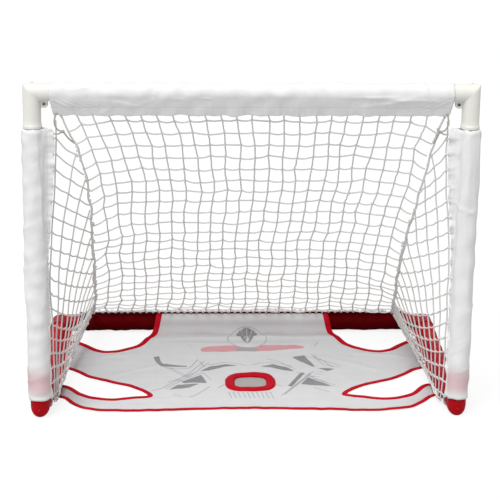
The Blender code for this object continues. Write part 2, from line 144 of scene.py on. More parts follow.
class GoalColours(PropertyGroup):
    """Colours of the plastics, cloths and prints."""

    ivory: colour("Ivory fittings", "Moulded top fittings", (0.83, 0.82, 0.765))
    red_plastic: colour("Red fittings", "Moulded base fittings", (0.42, 0.0, 0.005))
    # Painted shade: the rear fittings are the feet's red made darker, standing in for the shade at the back
    # of the goal.
    shaded_rear_plastic: colour("Dark red fittings", "Moulded rear fittings", (0.30, 0.0, 0.005))
    tube: colour("Tube", "Extruded tube", (0.80, 0.80, 0.78))
    white_cloth: colour("White sleeves", "White nylon", (0.84, 0.84, 0.84))
    red_cloth: colour("Red sleeves", "Red nylon on the rails", (0.44, 0.0, 0.010))
    # Painted shade: the rear bar's sleeve is the rails' red nylon made very dark, standing in for the shade
    # that falls on it.
    shaded_rear_cloth: colour("Dark red sleeve", "Red nylon on the rear bar", (0.085, 0.0, 0.0012))
    blush: colour("Blush", "White nylon over a red fitting", (0.66, 0.42, 0.44))
    cord: colour("Cord", "Netting and ropes", (0.72, 0.715, 0.70))
    tie: colour("Corner tie", "The darker cord of the corner ties", (0.46, 0.45, 0.41))
    sheet: colour("Target cloth", "The target's ground colour", (0.645, 0.645, 0.655))
    # Painted shade: darker cloth where the target folds against the rear bar and where its wings turn under
    # the side nets.
    painted_fold_shade: colour("Folded cloth", "The target's cloth where it is folded and shaded", (0.40, 0.36, 0.36))
    ink: colour("Grey print", "The target's darker print", (0.20, 0.20, 0.21))
    pencil: colour("Light print", "The target's fine lines", (0.34, 0.35, 0.37))
    bar: colour("Red print", "The bar behind the figure's head", (0.62, 0.27, 0.29))
    pocket: colour("Pocket", "The plain cloth behind the target's hole", (0.40, 0.38, 0.36))
    binding: colour("Binding", "The target's red tape", (0.52, 0.0, 0.012))
    steel: colour("Spring steel", "Snap clip leaves", (0.55, 0.55, 0.57))
    eyelet: colour("Eyelet", "The dark eyelets in the top fittings", (0.10, 0.10, 0.10))
    floor: colour("Floor", "The studio floor, beside its glow", (0.18, 0.18, 0.18))


def sizes():
    return bpy.context.scene.goal_sizes


def colours():
    return bpy.context.scene.goal_colours


# ---------------------------------------------------------------------------------------------
# Arrays into meshes


def unit(vectors):
    return vectors / np.maximum(np.linalg.norm(vectors, axis=-1, keepdims=True), 1e-12)


def smooth(low, high, value):
    """0 below low, 1 above high, and 3t^2 - 2t^3 between them."""
    t = np.clip((value - low) / (high - low), 0, 1)
    return t * t * (3 - 2 * t)


def grid_quads(rows, columns, loop_rows=False):
    """The quads of a grid of points numbered row by row; loop_rows joins the last row to the first."""
    i, j = np.meshgrid(np.arange(rows if loop_rows else rows - 1), np.arange(columns - 1), indexing="ij")
    after = (i + 1) % rows
    corners = (i * columns + j, i * columns + j + 1, after * columns + j + 1, after * columns + j)
    return np.stack(corners, -1).reshape(-1, 4)


def grid(points, uv, loop_rows=False):
    """A grid (rows, columns, 3) with its map (rows, columns, 2), as loose points, quads and map."""
    rows, columns = points.shape[:2]
    return points.reshape(-1, 3), grid_quads(rows, columns, loop_rows), uv.reshape(-1, 2)


def joined(parts):
    """Several (points, quads, map) parts as one, with their quads renumbered."""
    starts = np.cumsum([0] + [len(part[0]) for part in parts[:-1]])
    quads = np.concatenate([part[1] + start for part, start in zip(parts, starts)])
    return np.concatenate([part[0] for part in parts]), quads, np.concatenate([part[2] for part in parts])


def piece(name, part, finish, body="frame", stands_for=(), closed=True, values=None, weld=1e-6):
    """A mesh object from a part: welded, turned outwards if closed, with its map and values, in place
    on its body."""
    points, quads, uv = part
    if closed:
        a, b, c, d = (points[quads[:, k]] for k in range(4))
        volume = (np.einsum("ij,ij->i", a, np.cross(b, c)).sum()
                  + np.einsum("ij,ij->i", a, np.cross(c, d)).sum())
        quads = quads if volume > 0 else quads[:, ::-1]
    data = bpy.data.meshes.new(name)
    data.vertices.add(len(points))
    data.vertices.foreach_set("co", points.astype(np.float32).ravel())
    data.loops.add(quads.size)
    data.loops.foreach_set("vertex_index", quads.astype(np.int32).ravel())
    data.polygons.add(len(quads))
    data.polygons.foreach_set("loop_start", np.arange(0, quads.size, 4, dtype=np.int32))
    data.update(calc_edges=True)
    layer = data.uv_layers.new(name="UVMap")
    layer.data.foreach_set("uv", uv[quads.ravel()].astype(np.float32).ravel())
    for key, field in (values or {}).items():
        data.attributes.new(key, "FLOAT", "POINT").data.foreach_set("value", field.astype(np.float32).ravel())
    thing = bpy.data.objects.new(name, data)
    bpy.context.scene.collection.objects.link(thing)
    work = bmesh_of(data)
    bmesh.ops.remove_doubles(work, verts=work.verts, dist=weld)
    work.to_mesh(data)
    work.free()
    data.shade_smooth()
    data.set_sharp_from_angle(angle=np.radians(50))
    data.materials.append(finish)
    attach(thing, body)
    if stands_for:
        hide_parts(*stands_for)
    return thing


def bmesh_of(data):
    work = bmesh.new()
    work.from_mesh(data)
    return work


def thickened(thing, thickness, offset=-1.0):
    wall = thing.modifiers.new("Thickness", "SOLIDIFY")
    wall.thickness = thickness
    wall.offset = offset
    return thing


def tubes(paths, radius, sides, reference, lobes=0.0, twist=0.0):
    """Cords along many paths at once, paths (cords, points, 3). A ring at each point is
    centre + r (cos a * side + sin a * other), side = tangent x reference. With lobes, r is
    radius (1 + lobes cos 3(a - twist * distance)). Both ends close to a point."""
    paths = np.asarray(paths, float)
    tangent = unit(np.gradient(paths, axis=1))
    side = unit(np.cross(tangent, np.asarray(reference, float)))
    other = np.cross(tangent, side)
    step = np.linalg.norm(np.diff(paths, axis=1), axis=-1)
    distance = np.concatenate((np.zeros((len(paths), 1)), np.cumsum(step, 1)), 1)
    angle = np.linspace(0, TURN, sides + 1)
    reach = radius * (1 + lobes * np.cos(3 * (angle - twist * distance[..., None])))[..., None]
    around = np.cos(angle)[:, None] * side[:, :, None] + np.sin(angle)[:, None] * other[:, :, None]
    rings = paths[:, :, None] + reach * around
    caps = np.broadcast_to(paths[:, [0, -1], None], (len(paths), 2, sides + 1, 3))
    rings = np.concatenate((caps[:, :1], rings, caps[:, 1:]), 1)
    distance = np.concatenate((distance[:, :1], distance, distance[:, -1:]), 1)
    uv = np.stack(np.broadcast_arrays(angle * radius, distance[..., None]), -1)
    return joined([grid(ring, one) for ring, one in zip(rings, uv)])


def knots(centres, radius, rng):
    """Small lumpy balls, 8 by 4 faces each: latitude and longitude with two lobes, turned at random."""
    latitude = np.linspace(-np.pi / 2, np.pi / 2, 5)[:, None]
    longitude = np.linspace(0, TURN, 9)
    spin = rng.uniform(0, TURN, (len(centres), 1, 1))
    lumpy = 1 + 0.22 * np.cos(2 * longitude + spin) * np.cos(latitude)
    ball = np.stack(np.broadcast_arrays(
        np.cos(latitude) * np.cos(longitude), np.cos(latitude) * np.sin(longitude), np.sin(latitude)), -1)
    points = centres[:, None, None] + radius * lumpy[..., None] * ball
    uv = np.broadcast_to(np.stack(np.broadcast_arrays(longitude, latitude), -1) * radius,
                         points.shape[:3] + (2,))
    return joined([grid(one, flat) for one, flat in zip(points, uv)])


def smooth_line(corners, pieces=6):
    """A smooth curve through the given points (Catmull-Rom): on each span, the cubic whose slope at a
    point is half the step between its two neighbours."""
    corners = np.asarray(corners, float)
    ends = np.concatenate((corners[:1], corners, corners[-1:]))
    a, b, c, d = (ends[k : len(ends) - 3 + k, None] for k in range(4))
    s = (np.arange(pieces) / pieces)[None, :, None]
    line = b + 0.5 * s * ((c - a) + s * (2 * a - 5 * b + 4 * c - d + s * (3 * (b - c) + d - a)))
    return np.concatenate((line.reshape(-1, corners.shape[1]), corners[-1:]))


def spaced(line, count):
    """The same open line with evenly spaced points."""
    distance = np.concatenate(([0], np.cumsum(np.linalg.norm(np.diff(line, axis=0), axis=1))))
    places = np.linspace(0, distance[-1], count)
    return np.stack([np.interp(places, distance, line[:, k]) for k in range(line.shape[1])], -1)


def ripple(x, y, size, rng, waves=9):
    """Smooth noise of about -1 to 1: the mean of waves in random directions, each about size long."""
    heading, phase = rng.uniform(0, TURN, (2, waves))
    number = TURN / (size * rng.uniform(0.6, 1.7, waves))
    x, y = np.broadcast_arrays(x, y)
    inner = x[..., None] * (number * np.cos(heading)) + y[..., None] * (number * np.sin(heading)) + phase
    return np.sin(inner).sum(-1) / np.sqrt(waves)


def creases(along, around, rows):
    """Sum of soft ridges. A row is (place along, place around, heading, length, width, height), and its
    ridge is height * exp(-(across / width)^2 - (lengthways / length)^2)."""
    total = np.zeros(np.broadcast(along, around).shape)
    for centre, ring, heading, length, width, height in rows:
        x, y = along - centre, around - ring
        lengthways = x * np.cos(heading) + y * np.sin(heading)
        across = y * np.cos(heading) - x * np.sin(heading)
        total += height * np.exp(-((across / width) ** 2) - (lengthways / length) ** 2)
    return total


# ---------------------------------------------------------------------------------------------
# Materials


def add(tree, kind, inputs=None, **settings):
    """A shader node with its settings and its inputs, each a plain value or another node's socket."""
    made = tree.nodes.new(kind)
    for key, value in settings.items():
        setattr(made, key, value)
    for key, value in (inputs or {}).items():
        if isinstance(value, bpy.types.NodeSocket):
            tree.links.new(value, made.inputs[key])
        else:
            made.inputs[key].default_value = value
    return made


def maths(tree, operation, *values, clamp=False):
    return add(tree, "ShaderNodeMath", dict(enumerate(values)),
               operation=operation, use_clamp=clamp).outputs[0]


def mixed(tree, factor, first, second, blend="MIX"):
    made = add(tree, "ShaderNodeMix", {0: factor, 6: first, 7: second}, data_type="RGBA", blend_type=blend)
    return made.outputs[2]


def noise(tree, vector, scale, detail=3.0):
    return add(tree, "ShaderNodeTexNoise", {"Vector": vector, "Scale": scale, "Detail": detail}).outputs[0]


def rgba(value):
    return (*value, 1.0)


def new_group(name, inputs, outputs):
    """An empty node group with named sockets, and its input and output nodes."""
    group = bpy.data.node_groups.new(name, "ShaderNodeTree")
    for label, kind, value in inputs:
        socket = group.interface.new_socket(label, in_out="INPUT", socket_type=kind)
        if value is not None:
            socket.default_value = value
    for label, kind in outputs:
        group.interface.new_socket(label, in_out="OUTPUT", socket_type=kind)
    return group, group.nodes.new("NodeGroupInput").outputs, group.nodes.new("NodeGroupOutput").inputs


def weave_group():
    """Plain weave: Height is sin x * sin y of the thread pitch with uneven threads, Shade a soft mottle."""
    name = "plain_weave"
    if name in bpy.data.node_groups:
        return bpy.data.node_groups[name]
    group, given, result = new_group(
        name, [("Vector", "NodeSocketVector", None), ("Pitch", "NodeSocketFloat", 0.001)],
        [("Height", "NodeSocketFloat"), ("Shade", "NodeSocketFloat")])
    apart = add(group, "ShaderNodeSeparateXYZ", {0: given["Vector"]}).outputs
    number = maths(group, "DIVIDE", TURN / 2, given["Pitch"])
    warp = maths(group, "SINE", maths(group, "MULTIPLY", apart[0], number))
    weft = maths(group, "SINE", maths(group, "MULTIPLY", apart[1], number))
    slub = noise(group, given["Vector"], 420.0, 2.0)
    threads = maths(group, "MULTIPLY_ADD", maths(group, "MULTIPLY", warp, weft), 0.5, 0.5)
    group.links.new(maths(group, "MULTIPLY_ADD", slub, 0.6, threads), result["Height"])
    group.links.new(noise(group, given["Vector"], 22.0, 4.0), result["Shade"])
    return group


def twist_group():
    """Laid cord: Height runs in slanting bands round the cord, from its map in metres."""
    name = "laid_cord"
    if name in bpy.data.node_groups:
        return bpy.data.node_groups[name]
    group, given, result = new_group(
        name, [("Vector", "NodeSocketVector", None), ("Pitch", "NodeSocketFloat", 0.004)],
        [("Height", "NodeSocketFloat"), ("Shade", "NodeSocketFloat")])
    apart = add(group, "ShaderNodeSeparateXYZ", {0: given["Vector"]}).outputs
    slant = maths(group, "ADD", apart[1], maths(group, "MULTIPLY", apart[0], 0.6))
    bands = maths(group, "SINE", maths(group, "MULTIPLY", slant,
                                       maths(group, "DIVIDE", TURN, given["Pitch"])))
    fuzz = noise(group, given["Vector"], 900.0, 2.0)
    group.links.new(maths(group, "ADD", maths(group, "MULTIPLY_ADD", bands, 0.4, 0.5), fuzz),
                    result["Height"])
    group.links.new(noise(group, given["Vector"], 35.0), result["Shade"])
    return group


def grain_group():
    """Moulded plastic: Height is a fine even grain, Shade a broad faint mottle, Wear marks scuffs."""
    name = "moulded_grain"
    if name in bpy.data.node_groups:
        return bpy.data.node_groups[name]
    group, given, result = new_group(
        name, [("Vector", "NodeSocketVector", None)],
        [("Height", "NodeSocketFloat"), ("Shade", "NodeSocketFloat"), ("Wear", "NodeSocketFloat")])
    group.links.new(noise(group, given["Vector"], 1400.0, 1.0), result["Height"])
    group.links.new(noise(group, given["Vector"], 18.0, 3.0), result["Shade"])
    scuffs = noise(group, given["Vector"], 160.0, 6.0)
    group.links.new(maths(group, "MULTIPLY", maths(group, "SUBTRACT", scuffs, 0.58), 4.0, clamp=True),
                    result["Wear"])
    return group


def new_material(name, roughness, **plain):
    """An empty material with its Principled shader and the plain values of that shader's sockets."""
    made = bpy.data.materials.new(name)
    made.use_nodes = True
    shader = made.node_tree.nodes["Principled BSDF"]
    shader.inputs["Roughness"].default_value = roughness
    for key, value in plain.items():
        shader.inputs[key.replace("_", " ")].default_value = value
    return made, made.node_tree, shader


def place_group(tree, group, vector, **values):
    made = add(tree, "ShaderNodeGroup", node_tree=group)
    tree.links.new(vector, made.inputs["Vector"])
    for key, value in values.items():
        made.inputs[key].default_value = value
    return made.outputs


def bump(tree, shader, height, distance, strength=1.0):
    made = add(tree, "ShaderNodeBump", {"Height": height, "Distance": distance, "Strength": strength})
    tree.links.new(made.outputs[0], shader.inputs["Normal"])


def shaded(tree, base, dark, shade, amount):
    """The base colour moved towards a darker one by a varying shade."""
    return mixed(tree, maths(tree, "MULTIPLY", shade, amount, clamp=True), base, dark)


def plastic(name, value, roughness, gloss=0.5):
    """Moulded plastic: fine grain, faint mottle and dull scuffs."""
    if name in bpy.data.materials:
        return bpy.data.materials[name]
    made, tree, shader = new_material(name, roughness, Specular_IOR_Level=gloss)
    place = add(tree, "ShaderNodeTexCoord").outputs["Object"]
    grain = place_group(tree, grain_group(), place)
    darker = rgba([0.86 * c for c in value])
    tree.links.new(shaded(tree, rgba(value), darker, grain["Shade"], 0.5), shader.inputs["Base Color"])
    tree.links.new(maths(tree, "MULTIPLY_ADD", grain["Wear"], 0.2, roughness), shader.inputs["Roughness"])
    bump(tree, shader, grain["Height"], 0.00006, 0.5)
    return made


def cloth(name, value, roughness, gloss, blush=False):
    """Woven nylon: threads on the cloth's own map, mottle, stitching, and a blush over a red fitting."""
    if name in bpy.data.materials:
        return bpy.data.materials[name]
    made, tree, shader = new_material(name, roughness, Specular_IOR_Level=gloss)
    place = add(tree, "ShaderNodeUVMap", uv_map="UVMap").outputs[0]
    threads = place_group(tree, weave_group(), place, Pitch=sizes().weave)
    darker = rgba([0.90 * c for c in value])
    ground = shaded(tree, rgba(value), darker, threads["Shade"], 0.6)
    if blush:
        show = add(tree, "ShaderNodeAttribute", attribute_name="blush").outputs["Fac"]
        ground = mixed(tree, show, ground, rgba(colours().blush))
    stitch = add(tree, "ShaderNodeAttribute", attribute_name="stitch").outputs["Fac"]
    run = add(tree, "ShaderNodeSeparateXYZ", {0: place}).outputs[0]
    dash = maths(tree, "GREATER_THAN", maths(tree, "SINE", maths(tree, "MULTIPLY", run, TURN / 0.0045)), -0.4)
    sewn = maths(tree, "MULTIPLY", smooth_step(tree, stitch, 0.55, 0.8), dash)
    tree.links.new(mixed(tree, maths(tree, "MULTIPLY", sewn, 0.35), ground, rgba([0.55 * c for c in value])),
                   shader.inputs["Base Color"])
    height = maths(tree, "MULTIPLY_ADD", sewn, 2.0, threads["Height"])
    bump(tree, shader, height, 0.0002, 0.6)
    return made


def smooth_step(tree, value, low, high):
    made = add(tree, "ShaderNodeMapRange", {"Value": value, "From Min": low, "From Max": high})
    made.interpolation_type = "SMOOTHSTEP"
    return made.outputs[0]


def cord_finish(name, value, pitch, depth):
    """Laid cord, matt and slightly fuzzy, with painted shade in the grooves of its lay; depth from 0 to 1 is
    how deep its strands are laid.
    """
    if name in bpy.data.materials:
        return bpy.data.materials[name]
    made, tree, shader = new_material(name, 0.8, Specular_IOR_Level=0.2)
    place = add(tree, "ShaderNodeUVMap", uv_map="UVMap").outputs[0]
    lay = place_group(tree, twist_group(), place, Pitch=pitch)
    # Painted shade: the colour darkens where the lay is low, in the grooves between the strands.
    groove = maths(tree, "SUBTRACT", 1.1, lay["Height"], clamp=True)
    ground = mixed(tree, maths(tree, "MULTIPLY", groove, 0.5), rgba(value),
                   rgba([(1 - 0.4 * depth) * c for c in value]))
    tree.links.new(shaded(tree, ground, rgba([0.88 * c for c in value]), lay["Shade"], 0.4),
                   shader.inputs["Base Color"])
    bump(tree, shader, lay["Height"], 0.0003, depth)
    return made


def printed_cloth():
    """The target's cloth: weave, mottle and painted shade in its folds under three prints. Each print is a
    distance to its shapes, stored on the mesh, and is inked where that distance is below zero."""
    name = "printed_target_cloth"
    if name in bpy.data.materials:
        return bpy.data.materials[name]
    made, tree, shader = new_material(name, 0.62, Specular_IOR_Level=0.3)
    place = add(tree, "ShaderNodeUVMap", uv_map="UVMap").outputs[0]
    threads = place_group(tree, weave_group(), place, Pitch=sizes().weave)
    palette = colours()
    ground = shaded(tree, rgba(palette.sheet), rgba([0.88 * c for c in palette.sheet]),
                    threads["Shade"], 0.55)
    # Painted shade: where the folded mask is high, blotchy noise mixes the cloth towards the darker fold
    # colour.
    folded = add(tree, "ShaderNodeAttribute", attribute_name="folded").outputs["Fac"]
    blotch = noise(tree, place, 9.0, 4.0)
    painted_fold_shade = maths(tree, "MULTIPLY", folded, maths(tree, "MULTIPLY_ADD", blotch, 1.2, 0.1), clamp=True)
    ground = mixed(tree, painted_fold_shade, ground, rgba(palette.painted_fold_shade))
    worn = maths(tree, "MULTIPLY_ADD", threads["Shade"], 0.3, 0.75, clamp=True)
    for key, ink in (("bar", palette.bar), ("pencil", palette.pencil), ("ink", palette.ink)):
        distance = add(tree, "ShaderNodeAttribute", attribute_name=key).outputs["Fac"]
        inside = smooth_step(tree, distance, 0.0008, -0.0008)
        ground = mixed(tree, maths(tree, "MULTIPLY", inside, worn), ground, rgba(ink))
    tree.links.new(ground, shader.inputs["Base Color"])
    bump(tree, shader, threads["Height"], 0.0002, 0.5)
    return made


def tape_finish():
    """Folded binding tape: ribs across it and a row of stitches along it."""
    name = "red_binding_tape"
    if name in bpy.data.materials:
        return bpy.data.materials[name]
    made, tree, shader = new_material(name, 0.6, Specular_IOR_Level=0.1)
    value = colours().binding
    place = add(tree, "ShaderNodeUVMap", uv_map="UVMap").outputs[0]
    threads = place_group(tree, weave_group(), place, Pitch=0.0007)
    apart = add(tree, "ShaderNodeSeparateXYZ", {0: place}).outputs
    dash = maths(tree, "GREATER_THAN",
                 maths(tree, "SINE", maths(tree, "MULTIPLY", apart[0], TURN / STITCH_PITCH)), -0.3)
    near = maths(tree, "LESS_THAN",
                 maths(tree, "ABSOLUTE", maths(tree, "SUBTRACT", apart[1], STITCH_IN)), STITCH_HALF_WIDTH)
    sewn = maths(tree, "MULTIPLY", dash, near)
    ground = shaded(tree, rgba(value), rgba([0.7 * c for c in value]), threads["Shade"], 0.7)
    tree.links.new(mixed(tree, maths(tree, "MULTIPLY", sewn, 0.5), ground, rgba((0.3, 0.002, 0.01))),
                   shader.inputs["Base Color"])
    bump(tree, shader, maths(tree, "MULTIPLY_ADD", sewn, 1.5, threads["Height"]), 0.0002, 0.7)
    return made


def strip_finish(name, value):
    """Rolled metal with fine lines along it."""
    if name in bpy.data.materials:
        return bpy.data.materials[name]
    made, tree, shader = new_material(name, 0.32, Metallic=1.0)
    place = add(tree, "ShaderNodeTexCoord").outputs["Object"]
    drawn = add(tree, "ShaderNodeMapping", {"Vector": place, "Scale": (40.0, 900.0, 900.0)}).outputs[0]
    lines = noise(tree, drawn, 1.0, 2.0)
    tree.links.new(shaded(tree, rgba(value), rgba([0.7 * c for c in value]), lines, 0.6),
                   shader.inputs["Base Color"])
    bump(tree, shader, lines, 0.00002, 0.4)
    return made


# ---------------------------------------------------------------------------------------------
# Fittings, tubes and snap clips


def mouth(length, radius, bore, beaded):
    """From the bore's edge out over the lip, and over the bead if there is one: (distance, radius) rows."""
    top = radius + (BEAD if beaded else 0)
    lip = [(length - 0.0006, bore), (length, bore + 0.0006), (length, top - 0.0009),
           (length - 0.0003, top - 0.0003), (length - 0.0009, top)]
    neck = length - BEAD_WIDTH
    bead = [(neck + 0.0009, top), (neck + 0.0003, top - 0.0003), (neck - 0.0004, radius + 0.0005),
            (neck - 0.0016, radius)]
    return np.array(lip + (bead if beaded else [(length - 0.004, radius)]))


def bend_rows(corner, first, second, lengths, radius, bore, beaded, heel):
    """One fitting's skin, bent sharply. A line of the skin lies at d = r cos(angle) outside the bend: it
    runs along one arm, turns through an arc of its own radius about (q, q), q = arc radius - d, and runs
    along the other arm. The arc radius goes from 3 mm inside the bend to the heel's outside it."""
    angle = np.linspace(0, TURN, 49)
    offset = np.cos(angle)
    rows = []

    def arm(table, swap):
        for distance, r in table:
            p, q = np.broadcast_to(distance, angle.shape), -r * offset
            rows.append((q, p, r * np.sin(angle)) if swap else (p, q, r * np.sin(angle)))

    def straight(start, r, swap, order):
        turn = 0.003 + (heel - 0.003) * (offset + 1) / 2
        stop = turn - r * offset
        for share in order:
            p, q = start + (stop - start) * share, -r * offset
            rows.append((q, p, r * np.sin(angle)) if swap else (p, q, r * np.sin(angle)))

    def corner_arc(r, order):
        turn = 0.003 + (heel - 0.003) * (offset + 1) / 2
        for theta in order:
            rows.append((turn - r * offset - turn * np.sin(theta), turn - r * offset - turn * np.cos(theta),
                         r * np.sin(angle)))

    shares = np.linspace(0, 1, 7)[1:]
    arcs = np.linspace(0, np.pi / 2, 10)[1:-1]
    mouths = [mouth(length, radius, bore, bead) for length, bead in zip(lengths, beaded)]
    arm(mouths[0], False)
    straight(mouths[0][-1, 0], radius, False, shares)
    corner_arc(radius, arcs)
    straight(mouths[1][-1, 0], radius, True, shares[::-1])
    arm(mouths[1][::-1], True)
    straight(lengths[1] - 0.0006, bore, True, shares)
    corner_arc(bore, arcs[::-1])
    straight(lengths[0] - 0.0006, bore, False, shares[::-1])
    rows = np.array(rows)
    across = np.cross(first, second)
    points = (corner + rows[:, 0, :, None] * first + rows[:, 1, :, None] * second
              + rows[:, 2, :, None] * across)
    uv = np.stack(np.broadcast_arrays(angle * radius, np.arange(len(rows))[:, None] * 0.004), -1)
    return points, uv


def web_plate(corner, first, second, radius):
    """The pierced plate in a fitting's inner corner: a ring of rays from the hole out to the plate's
    outline, with its edges rounded."""
    centre = radius + WEB_HOLE_IN
    nook, reach = radius - 0.004, radius + 0.026
    turn = np.linspace(-0.5, 2.07, 15)
    nose = np.stack((centre + 0.0110 * np.cos(turn), centre + 0.0110 * np.sin(turn)), -1)
    outline = np.concatenate(([(nook, nook), (reach, nook)], nose, [(nook, reach)]))
    angle = np.linspace(0, TURN, 65)
    ray = np.stack((np.cos(angle), np.sin(angle)), -1)
    start, span = outline - centre, np.roll(outline, -1, 0) - outline
    cross = ray[:, None, 0] * span[:, 1] - ray[:, None, 1] * span[:, 0]
    safe = np.where(cross == 0, 1e-9, cross)
    along = (start[:, 0] * span[:, 1] - start[:, 1] * span[:, 0]) / safe
    share = (start[:, 0] * ray[:, None, 1] - start[:, 1] * ray[:, None, 0]) / safe
    along = np.where((along > 0) & (share >= 0) & (share <= 1), along, np.inf).min(1)
    half, hole, edge = 0.0025, WEB_HOLE_R, 0.0007
    section = [(0, hole, half - edge), (0, hole + edge, half), (1, -edge, half), (1, 0, half - edge),
               (1, 0, edge - half), (1, -edge, -half), (0, hole + edge, -half), (0, hole, edge - half)]
    rows = [(outer * along + extra, height) for outer, extra, height in section]
    across = np.cross(first, second)
    points = np.array([corner + (centre + distance * ray[:, 0])[:, None] * first
                       + (centre + distance * ray[:, 1])[:, None] * second + height * across
                       for distance, height in rows])
    uv = np.stack(np.broadcast_arrays(angle * hole, np.arange(len(rows))[:, None] * 0.002), -1)
    return grid(points, uv, loop_rows=True)


def fitting(word, corner, first, second, radius, lengths, beaded, heel, finish, web=False):
    corner, first, second = (np.array(v, float) for v in (corner, first, second))
    points, uv = bend_rows(corner, first, second, lengths, radius, BORE_R, beaded, heel)
    if corner[2] < TOP_Z / 2:
        points[..., 2] = np.maximum(points[..., 2], 0.0)
    parts = [grid(points, uv, loop_rows=True)]
    if web:
        parts.append(web_plate(corner, first, second, radius))
    return piece(f"{word}_moulding", joined(parts), finish, "frame", [word])


def lathe(profile, origin, axis, steps=48, loop=False):
    """A turned part: each (radius, height) row swept round the axis through the origin."""
    axis = np.array(axis, float)
    side = unit(np.cross(axis, (0, 0, 1) if abs(axis[2]) < 0.5 else (1, 0, 0)))
    other = np.cross(axis, side)
    angle = np.linspace(0, TURN, steps + 1)
    profile = np.array(profile, float)
    around = np.cos(angle)[:, None] * side + np.sin(angle)[:, None] * other
    points = np.array(origin) + profile[:, 0, None, None] * around + profile[:, 1, None, None] * axis
    uv = np.stack(np.broadcast_arrays(angle * profile[:, 0].max(), profile[:, 1, None]), -1)
    return grid(points, uv, loop_rows=loop)


class GOAL_OT_fittings(Operator):
    """Builds the six socketed corner fittings."""

    bl_idname = "goal.fittings"
    bl_label = "Corner fittings"

    def execute(self, context):
        ivory = plastic("ivory_moulded_plastic", colours().ivory, 0.34)
        red = plastic("red_moulded_plastic", colours().red_plastic, 0.40, 0.12)
        # Painted shade: the rear elbows get the darker red that stands in for the shade they sit in.
        shade = plastic("dark_red_moulded_plastic", colours().shaded_rear_plastic, 0.40, 0.2)
        dark = strip_finish("blackened_eyelet", colours().eyelet)
        for side, word in SIDES:
            x = side * HALF_SPAN
            inward, down, up, back = (-side, 0, 0), (0, 0, -1), (0, 0, 1), (0, 1, 0)
            fitting(f"{word}_top_elbow", (x, FRONT_Y, TOP_Z), inward, down, TOP_FITTING_R, (SHORT_ARM, ARM),
                    (False, True), 0.004, ivory, web=True)
            fitting(f"{word}_foot_elbow", (x, FRONT_Y, BASE_Z), up, back, BASE_FITTING_R, (ARM, SHORT_ARM),
                    (True, True), 0.016, red)
            fitting(f"{word}_rear_elbow", (x, REAR_Y, BASE_Z), inward, (0, -1, 0), BASE_FITTING_R,
                    (SHORT_ARM, SHORT_ARM), (True, True), 0.016, shade)
            inset = TOP_FITTING_R + WEB_HOLE_IN
            hole = (side * (HALF_SPAN - inset), FRONT_Y, TOP_Z - inset)
            ring = [(0.0012, -0.0026), (WEB_HOLE_R, -0.0026), (0.0040, -0.0027), (0.0042, -0.0031),
                    (0.0030, -0.0034), (0.0015, -0.0032)]
            eyelet = ring + [(r, -h) for r, h in reversed(ring)]
            piece(f"{word}_top_elbow_eyelet", lathe(eyelet, hole, (0, 1, 0), 24, loop=True), dark)
        return {"FINISHED"}


class GOAL_OT_tubes(Operator):
    """Builds the six tubes between the fittings."""

    bl_idname = "goal.tubes"
    bl_label = "Tubes"

    def execute(self, context):
        finish = plastic("extruded_tube", colours().tube, 0.45)
        axes = {"crossbar_tube": 0, "rear_bar_tube": 0}
        for word in ("left", "right"):
            axes[f"{word}_post_tube"] = 2
            axes[f"{word}_rail_tube"] = 1
        for node, axis in axes.items():
            low, high = (np.array(corner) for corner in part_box(node))
            centre, direction = (low + high) / 2, np.eye(3)[axis]
            half = (high - low)[axis] / 2
            inner = TUBE_R - 0.0025
            wall = [(inner, -half), (inner, half), (TUBE_R, half), (TUBE_R, -half)]
            piece(f"{node}_wall", lathe(wall, centre, direction, loop=True), finish, "frame", [node])
        return {"FINISHED"}


class GOAL_OT_clips(Operator):
    """Builds the snap buttons and finishes their springs."""

    bl_idname = "goal.clips"
    bl_label = "Snap clips"

    def execute(self, context):
        ivory = plastic("ivory_button_plastic", colours().ivory, 0.3)
        red = plastic("red_button_plastic", colours().red_plastic, 0.3, 0.25)
        steel = strip_finish("rolled_spring_steel", colours().steel)
        for side, word in SIDES:
            x = side * HALF_SPAN
            for place, origin, axis, radius, finish, slot in (
                    ("crossbar", (x, FRONT_Y, TOP_Z), (0, 0, 1), TOP_FITTING_R, ivory, "white_button"),
                    ("foot", (x, FRONT_Y, BASE_Z), (0, -1, 0), BASE_FITTING_R, red, "red_button")):
                tip = radius + BUTTON_PROUD
                bow = np.linspace(0, np.pi / 2, 9)
                dome = np.stack((BUTTON_R * np.sin(bow), tip - 0.55 * BUTTON_R * (1 - np.cos(bow))), -1)
                stem = [(BUTTON_R, 0.0168), (0.0062, 0.0168), (0.0062, 0.0142), (0, 0.0142)]
                node = f"{word}_{place}_button"
                piece(f"{node}_dome", lathe([*dome, *stem], origin, axis, 32), finish,
                      f"{word}_{place}_clip", [node])
                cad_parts[f"{word}_{place}_spring"].data.materials.clear()
                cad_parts[f"{word}_{place}_spring"].data.materials.append(steel)
        return {"FINISHED"}


# ---------------------------------------------------------------------------------------------
# Sleeves


def sleeve_section(radius, flap, pinch, count):
    """The sleeve's outlines round the tube, one for each flap length in a column: from the flap's tip
    along one face, round the tube and back. The faces close as (1 - w)^(1 + 2.5 pinch), w from the tube
    to the tip. Returns x along the flap, y across it, w (0 on the tube) and the outward direction."""
    leave = np.arccos(radius / flap)
    facing = count // 4
    w = np.linspace(1, 0, facing + 1)
    start, rise = radius * np.cos(leave), radius * np.sin(leave)
    x_flap = start + (flap - start) * w
    y_flap = rise * (1 - w) ** (1 + 2.5 * pinch) + 0.0004 * w
    turn = leave + (TURN - 2 * leave) * np.linspace(0, 1, count - 2 * facing + 1)[1:-1]
    x = np.concatenate((x_flap, radius * np.cos(turn), x_flap[:, ::-1]), 1)
    y = np.concatenate((y_flap, radius * np.sin(turn), -y_flap[:, ::-1]), 1)
    reach = np.concatenate((w, np.zeros(turn.shape[1]), w[::-1]))
    outward = unit(np.stack((np.gradient(y, axis=1), -np.gradient(x, axis=1)), -1))
    way = np.sign(np.sum(outward * np.stack((x - start * 0.4, y), -1), -1))
    return x, y, reach, outward * way[..., None]


